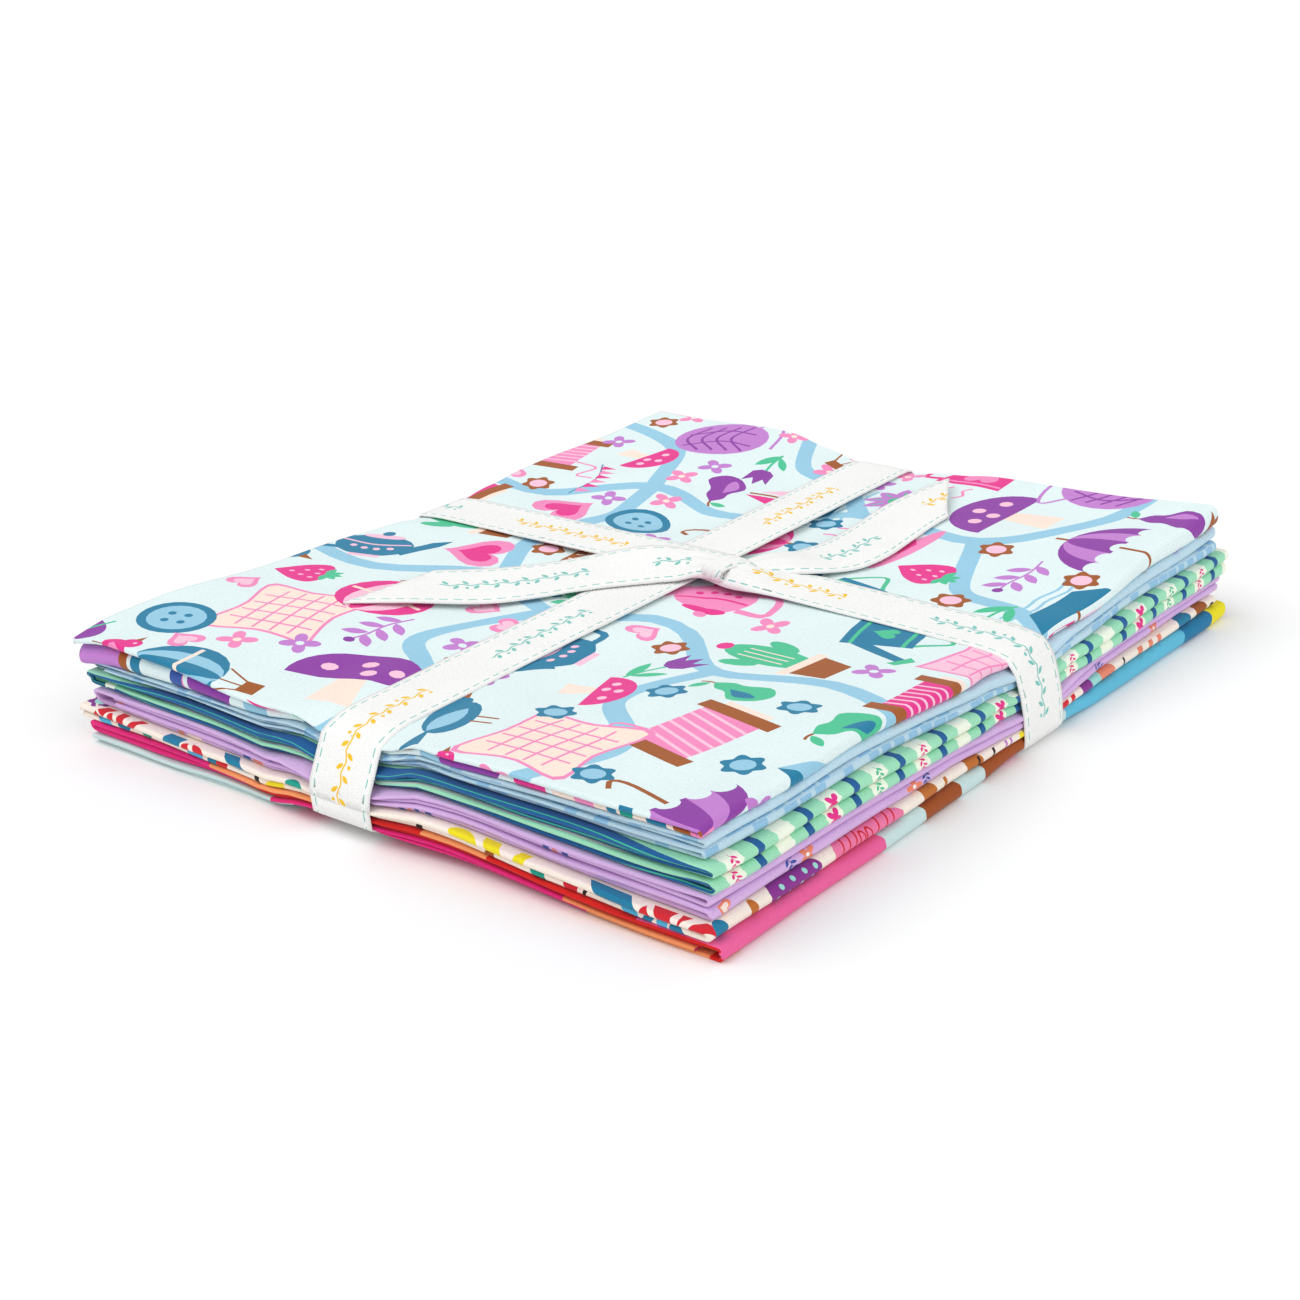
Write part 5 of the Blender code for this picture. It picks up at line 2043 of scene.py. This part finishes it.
@dataclass
class RibbonTie:
    """The tie: two bands round the stack, a knot and two free tails, all from one length of ribbon.

    Fields: the ribbon's width and thickness, its distance from the cloth, the knot's place and its
    turn, the gathered width, the half width and half height and the lean of its wrap, the edges in X of
    the crossed band, how much shorter a tail's cut makes one edge, the spacing of the stitches and of
    the vine's leaves, the usual length of a printed group, the groups of each band (a place on top, the
    lengths before and behind it, and the ink), and the stations of the tails. A station is a place in X
    and Y, the width there, how far the left and the right edge ride above what lies below, and how far
    the middle arches above them.
    """

    stack: StackShape
    width: float = 22.0
    thickness: float = 0.45
    clearance: float = 0.35
    knot_at: Pair = (13.0, 8.8)
    knot_turn: float = -17.0
    wrap_width: float = 8.8
    wrap_half: Pair = (6.9, 2.6)
    wrap_lean: float = 1.0
    crossed: Pair = (-20.5, 4.5)
    slant: float = 28.0
    stitch_step: float = 4.2
    vine_step: float = 3.1
    group_length: float = 43.0
    groups_y: tuple[tuple[float | Ink, ...], ...] = (
        (134.0, 40.0, 2.0, Ink.STITCH), (100.0, 0.0, 43.0, Ink.GOLD), (-34.0, 0.0, 42.0, Ink.STITCH),
        (-104.0, 0.0, 58.0, Ink.GOLD))
    groups_x: tuple[tuple[float | Ink, ...], ...] = (
        (81.0, 50.0, 0.0, Ink.STITCH), (50.0, 0.0, 30.0, Ink.GOLD), (-36.0, 0.0, 46.0, Ink.GOLD),
        (-106.0, 0.0, 30.0, Ink.STITCH))
    left_tail: tuple[tuple[float, ...], ...] = (
        (16, 6.8, 9.5, 1.2, 1.4, 2.2), (9.5, 8.6, 11.8, 0.9, 1.4, 2.9), (2, 8.4, 16.5, 0.8, 2.8, 1.6),
        (-5, 5, 20, 0.7, 3.9, 0.7), (-13, -0.8, 22, 0.6, 4.2, 0.3), (-26.5, -16, 22, 0.6, 4.2, 0.2),
        (-42, -36.5, 22, 0.5, 3.8, 0.2), (-57, -53, 22, 0.5, 3, 0.2), (-75, -70.5, 22, 0.5, 1.6, 0.2))
    right_tail: tuple[tuple[float, ...], ...] = (
        (13, 13, 9, 0.6, 0.6, 0.8), (17, 20.5, 13, 1.2, 0.7, 1.6), (22, 28.5, 18, 2.4, 0.6, 1.5),
        (26.5, 38.5, 21, 3, 0.5, 0.5), (29.3, 53, 22, 2.9, 0.5, 0.2), (28.6, 73, 22, 2.6, 0.5, 0.2),
        (27.8, 93, 22, 2.7, 0.7, 0.3), (30, 111, 22, 2.8, 1.4, 0.4), (32, 124, 22, 2.4, 2, 0.4))
    strips: list[RibbonStrip] = field(default_factory=list)
    tops: dict[int, tuple[Array, Array]] = field(default_factory=dict)

    def printed(self, length: float, marks: Sequence[Mark]) -> Print:
        """Prints a stretch of ribbon: a stitch line along both edges and groups of a small vine.

        Args:
            length: The stretch's length.
            marks: The start, the end and the ink of each group.

        Returns:
            The print, with U along the ribbon and V across it.
        """
        pattern = Print(Ink.WHITE)
        for side in (-1.0, 1.0):
            for place in np.arange(0.0, length, self.stitch_step):
                pattern.add(box(place + 1.5, side * (self.width / 2 - 1.9), 2.5, 0.4), Ink.STITCH)
        for first, last, ink in marks:
            for k, at in enumerate(np.arange(max(first, 1.0), min(last, length - 2.0), self.vine_step)):
                side = 1.0 if k % 2 else -1.0
                bow = curve(at, -0.5 * side, at + 1.5, 0.1 * side, at + self.vine_step, 0.5 * side, count=4)
                pattern.add(stroke(bow, 0.55), ink)
                pattern.add(leaf(at + 0.4, 0.3 * side, 2.9, 1.35, 52.0 * side), ink)
                if k % 3 == 0:
                    pattern.add(oval(at + 1.1, -1.9 * side, 0.62, 0.62, count=8), ink)
        return pattern

    def band(self, spots: Array, along: int, extra: Array | None) -> None:
        """Adds a band round the stack.

        Args:
            spots: The points of all sheets, in the formulas' frame.
            along: The axis that the band runs along, 0 or 1.
            extra: More points that it has to go round, as places along it and heights.
        """
        across = 1 - along
        centre = self.stack.tie_x if along == 1 else self.stack.tie_y
        near = np.abs(spots[:, across] - centre(spots[:, along])) < self.width / 2 + 0.5
        points = spots[near][:, (along, 2)]
        if extra is not None:
            points = np.concatenate([points, extra])
        line = around(hull(points), self.clearance, 1.0)
        way = unit(np.gradient(line, axis=0))
        upper = line[:, 1] > line[:, 1].mean()
        order = np.argsort(line[upper, 0])
        places, above = distances(line), line[upper][order]
        self.tops[along] = (above[:, 0], above[:, 1] + self.thickness)
        below = ((20.0, Ink.GOLD), (160.0, Ink.GOLD), (90.0, Ink.STITCH))
        marks: list[Mark] = [(at, at + self.group_length, ink) for at, ink in below]
        for place, before, behind, ink in self.groups_y if along == 1 else self.groups_x:
            at = float(np.interp(place, above[:, 0], places[upper][order]))
            marks.append((at - before, at + behind, ink))
        middles = np.zeros((len(line), 3))
        middles[:, along] = line[:, 0]
        middles[:, across] = centre(line[:, 0])
        middles[:, 2] = line[:, 1]
        uppers = np.zeros_like(middles)
        uppers[:, along] = way[:, 1]
        uppers[:, 2] = -way[:, 0]
        lefts = np.zeros_like(middles)
        lefts[:, across] = 1.0 if along == 1 else -1.0
        puff = np.zeros(len(line))
        if along == 0:
            puff = np.exp(-((line[:, 0] - self.knot_at[0] - 5.0) / 8.5) ** 2) * upper
            middles[:, across] -= 8.0 * puff
            middles[:, 2] += 0.3 * puff
        self.strips.append(RibbonStrip(middles, lefts, uppers, self.width * (1.0 - 0.40 * puff), 0.35 * puff,
                                       5.2 * puff, self.printed(float(places[-1]), marks)))

    def surface(self, x: Array, y: Array) -> Array:
        """Finds the height of what lies on top: the top cotton or a band.

        Args:
            x: Places in X.
            y: Places in Y.

        Returns:
            The height.
        """
        middles, thick = self.stack.levels(0, x, y)
        height = middles[0] + thick[0] / 2 + 0.2
        for along, (places, tops) in self.tops.items():
            here, there = (y, x) if along == 1 else (x, y)
            centre = self.stack.tie_x(y) if along == 1 else self.stack.tie_y(x)
            on = np.abs(there - centre) < self.width / 2 + 0.6
            height = np.where(on, np.maximum(height, np.interp(here, places, tops)), height)
        return height

    def tail(self, rows: Sequence[Sequence[float]], marks: Sequence[Mark]) -> None:
        """Adds a free tail, gathered at the knot and cut at a slant at its end.

        Args:
            rows: Its stations.
            marks: The start, the end and the ink of each printed group.
        """
        steps = np.arange(len(rows))
        x, y, width, *rises, crown = (
            curve(*np.stack([steps, column], 1).ravel(), count=65)[:, 1] for column in zip(*rows))
        way = unit(np.stack([np.gradient(x), np.gradient(y)], axis=1))
        left = np.stack([-way[:, 1], way[:, 0]], axis=1)
        sides = []
        for side, rise in zip((1.0, -1.0), rises):
            sx = x + left[:, 0] * side * width / 2
            sy = y + left[:, 1] * side * width / 2
            below = self.surface(sx, sy)
            for inward in (0.25, 0.5):
                below = np.maximum(below, self.surface(mix(sx, x, inward), mix(sy, y, inward)))
            # The highest of seven stations and then the mean of eleven, so that a tail bridges dips.
            ridge = sliding_window_view(np.pad(below, 3, mode="edge"), 7).max(axis=1)
            ridge = np.convolve(np.pad(ridge, 5, mode="edge"), np.ones(11) / 11.0, "valid")
            sides.append(np.stack([sx, sy, ridge + rise], axis=1))
        lefts = unit(sides[0] - sides[1])
        middles = (sides[0] + sides[1]) / 2
        for column in range(3):
            padded = np.pad(middles[:, column], 2, mode="edge")
            middles[:, column] = np.convolve(padded, np.ones(5) / 5, "valid")
        uppers = unit(np.cross(np.gradient(middles, axis=0), lefts))
        pleats = 0.55 * np.clip((self.width - width) / 12.0, 0.0, 1.0)
        length = float(np.linalg.norm(np.diff(middles, axis=0), axis=1).sum())
        self.strips.append(RibbonStrip(middles, lefts, uppers, width, pleats, crown,
                                       self.printed(length, marks), self.slant))

    def wrap(self) -> None:
        """Adds one turn of ribbon round the knot."""
        wide, high = self.wrap_half
        turn = math.radians(self.knot_turn)
        axis = np.array([math.cos(turn), math.sin(turn), 0.0])
        side = np.array([-math.sin(turn), math.cos(turn), 0.0])
        above = np.array([0.0, 0.0, 1.0])
        base = float(self.surface(np.array([self.knot_at[0]]), np.array([self.knot_at[1]]))[0])
        centre = np.array([*self.knot_at, base + high * 0.95])
        angle = np.linspace(-0.5 * math.pi, 1.5 * math.pi, 49)
        across, up = np.cos(angle)[:, None], np.sin(angle)[:, None]
        middles = centre + side * across * wide + above * up * high + axis * self.wrap_lean * across
        ones = np.ones(len(angle))
        lefts, uppers = np.tile(axis, (len(angle), 1)), side * across + above * up
        self.strips.append(RibbonStrip(middles, lefts, uppers, self.wrap_width * ones, 0.4 * ones, 0.6 * ones,
                                       self.printed(46.0, [])))

    def build(self, cottons: Sequence[bpy.types.Object], shift: Array) -> bpy.types.Object:
        """Builds the tie round the finished sheets.

        Args:
            cottons: The sheets' objects.
            shift: The way from the formulas' frame to the part's frame, in millimetres.

        Returns:
            The tie's object.
        """
        parts = []
        for item in cottons:
            flat = np.empty(3 * len(item.data.vertices))
            item.data.vertices.foreach_get("co", flat)
            parts.append(flat.reshape(-1, 3) / MM - shift)
        points = np.concatenate(parts)
        self.band(points, 1, None)
        over = float(np.interp(self.stack.centre_y, *self.tops[1]))
        under = float(self.strips[0].middles[:, 2].min())
        passed = [(x, z) for x in self.crossed for z in (over, under - 0.1)]
        self.band(points, 0, np.array(passed))
        self.tail(self.left_tail, [(16.0, 27.0, Ink.STITCH), (48.0, 92.0, Ink.STITCH)])
        self.tail(self.right_tail, [(29.0, 54.0, Ink.STITCH), (88.0, 106.0, Ink.GOLD)])
        self.wrap()
        spots, triangles, colours, places = zip(*(strip.cut() for strip in self.strips))
        starts = np.cumsum([0] + [len(part) for part in spots[:-1]])
        item = make_mesh("ribbon_cloth", np.concatenate(spots) + shift,
                         np.concatenate([part + start for part, start in zip(triangles, starts)]),
                         np.concatenate(colours), np.concatenate(places))
        item.data.materials.append(TwillRibbon().make())
        solid = item.modifiers.new("cloth_thickness", "SOLIDIFY")
        solid.thickness = self.thickness * MM
        solid.offset = 0.0
        log.info("ribbon: %d strips, %.0f mm in all", len(self.strips), self.length)
        return item

    @property
    def length(self) -> float:
        """Returns the length of ribbon in all strips."""
        return sum(strip.length for strip in self.strips)


@dataclass(frozen=True)
class PhotoCamera:
    """The camera of the photograph, in the formulas' frame: where it looks from, and its lens."""

    azimuth: float = 38.5
    elevation: float = 21.66
    roll: float = -1.66
    distance: float = 685.0
    target: Three = (-0.4, -14.1, 13.7)
    lens: float = 62.47
    sensor: float = 36.0

    def build(self, shift: Array) -> None:
        """Places the camera and makes it the scene's own.

        Args:
            shift: The way from the formulas' frame to the part's frame, in millimetres.
        """
        az, el, roll = (math.radians(a) for a in (self.azimuth, self.elevation, self.roll))
        back = Vector((math.sin(az) * math.cos(el), -math.cos(az) * math.cos(el), math.sin(el)))
        level = Vector((math.cos(az), math.sin(az), 0.0))
        above = back.cross(level)
        right = math.cos(roll) * level + math.sin(roll) * above
        up = -math.sin(roll) * level + math.cos(roll) * above
        place = (Vector(self.target) + Vector(shift) + back * self.distance) * MM
        data = bpy.data.cameras.new("photo_camera")
        data.lens = self.lens
        data.sensor_width = self.sensor
        data.sensor_fit = "HORIZONTAL"
        data.clip_start = 0.01
        item = bpy.data.objects.new("photo_camera", data)
        matrix = Matrix((right, up, back)).transposed().to_4x4()
        matrix.translation = place
        item.matrix_world = matrix
        bpy.context.scene.collection.objects.link(item)
        bpy.context.scene.camera = item


@dataclass(frozen=True)
class Studio:
    """The plain pale floor and the soft light around the bundle."""

    floor_size: float = 6.0
    sky: str = "#FFFFFF"
    sky_strength: float = 0.62
    softness: float = 55.0

    def build(self) -> None:
        """Builds the floor, the lights and the pale surroundings."""
        bpy.ops.mesh.primitive_grid_add(x_subdivisions=8, y_subdivisions=8, size=self.floor_size)
        floor = bpy.context.object
        floor.name = "pale_floor"
        material = bpy.data.materials.new("matt_white_paper")
        material.use_nodes = True
        tree = material.node_tree
        shader = tree.nodes["Principled BSDF"]
        shader.inputs["Roughness"].default_value = 0.9
        shader.inputs["Specular IOR Level"].default_value = 0.1
        place = add_node(tree, "ShaderNodeTexCoord")
        grain = add_node(tree, "ShaderNodeTexNoise", {"Scale": 6.0}, {"Vector": place.outputs["Object"]})
        tone = add_node(tree, "ShaderNodeMapRange", {"To Min": 0.93, "To Max": 0.95},
                        {"Value": grain.outputs["Fac"]})
        tree.links.new(tone.outputs[0], shader.inputs["Base Color"])
        floor.data.materials.append(material)
        world = bpy.data.worlds.new("white_studio")
        world.use_nodes = True
        background = world.node_tree.nodes["Background"]
        background.inputs["Color"].default_value = linear(self.sky)
        background.inputs["Strength"].default_value = self.sky_strength
        bpy.context.scene.world = world
        self.sun("key_softbox", (-0.5, -0.5, 1.0), 1.25)
        self.sun("right_softbox", (1.0, -0.15, 0.8), 0.9)

    def sun(self, name: str, place: Three, strength: float) -> None:
        """Adds one broad, distant soft light.

        Args:
            name: Its name.
            place: The direction that it shines from.
            strength: Its strength.
        """
        data = bpy.data.lights.new(name, "SUN")
        data.angle = math.radians(self.softness)
        data.energy = strength
        item = bpy.data.objects.new(name, data)
        item.rotation_euler = (-Vector(place)).to_track_quat("-Z", "Y").to_euler()
        bpy.context.scene.collection.objects.link(item)


def stack_shift() -> Array:
    """Returns the way from the formulas' frame to the part's frame, read off two of its solids."""
    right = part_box("cotton_6_colour_block")[1].x / MM
    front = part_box("cotton_1_ice_blue")[0].y / MM
    return np.array([right - COTTON_SIZES[5].x_high, front - COTTON_SIZES[0].y_low, 0.0])


def main() -> None:
    """Loads the frame, builds the bundle and its surroundings, and attaches every piece to the root body."""
    logging.basicConfig(level=logging.INFO, format="%(message)s")
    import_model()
    bpy.context.scene.view_settings.view_transform = "Standard"
    shift = stack_shift()
    log.info("shift to the part's frame: %s mm", np.round(shift, 3))
    PhotoCamera().build(shift)
    Studio().build()
    stack = StackShape()
    sheets = [FoldedSheet(stack, k, PlyFold(nose=size.nose)) for k, size in enumerate(COTTON_SIZES)]
    prints = draw_prints(sheets)
    names = [size.node.replace("cotton_", "cloth_") for size in COTTON_SIZES]
    cottons = []
    for k in reversed(range(len(sheets))):
        item = FoldedCotton(sheets[k], names[k], prints[k], 4.5 if k == 0 else 7.0).build(shift)
        node = COTTON_SIZES[k].node
        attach(item, "root")
        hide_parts(node)
        cottons.append(item)
    tie = RibbonTie(stack)
    ribbon = tie.build(cottons, shift)
    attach(ribbon, "root")
    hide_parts("ribbon_tie")
    tie.length * MM


if __name__ == "__main__":
    main()
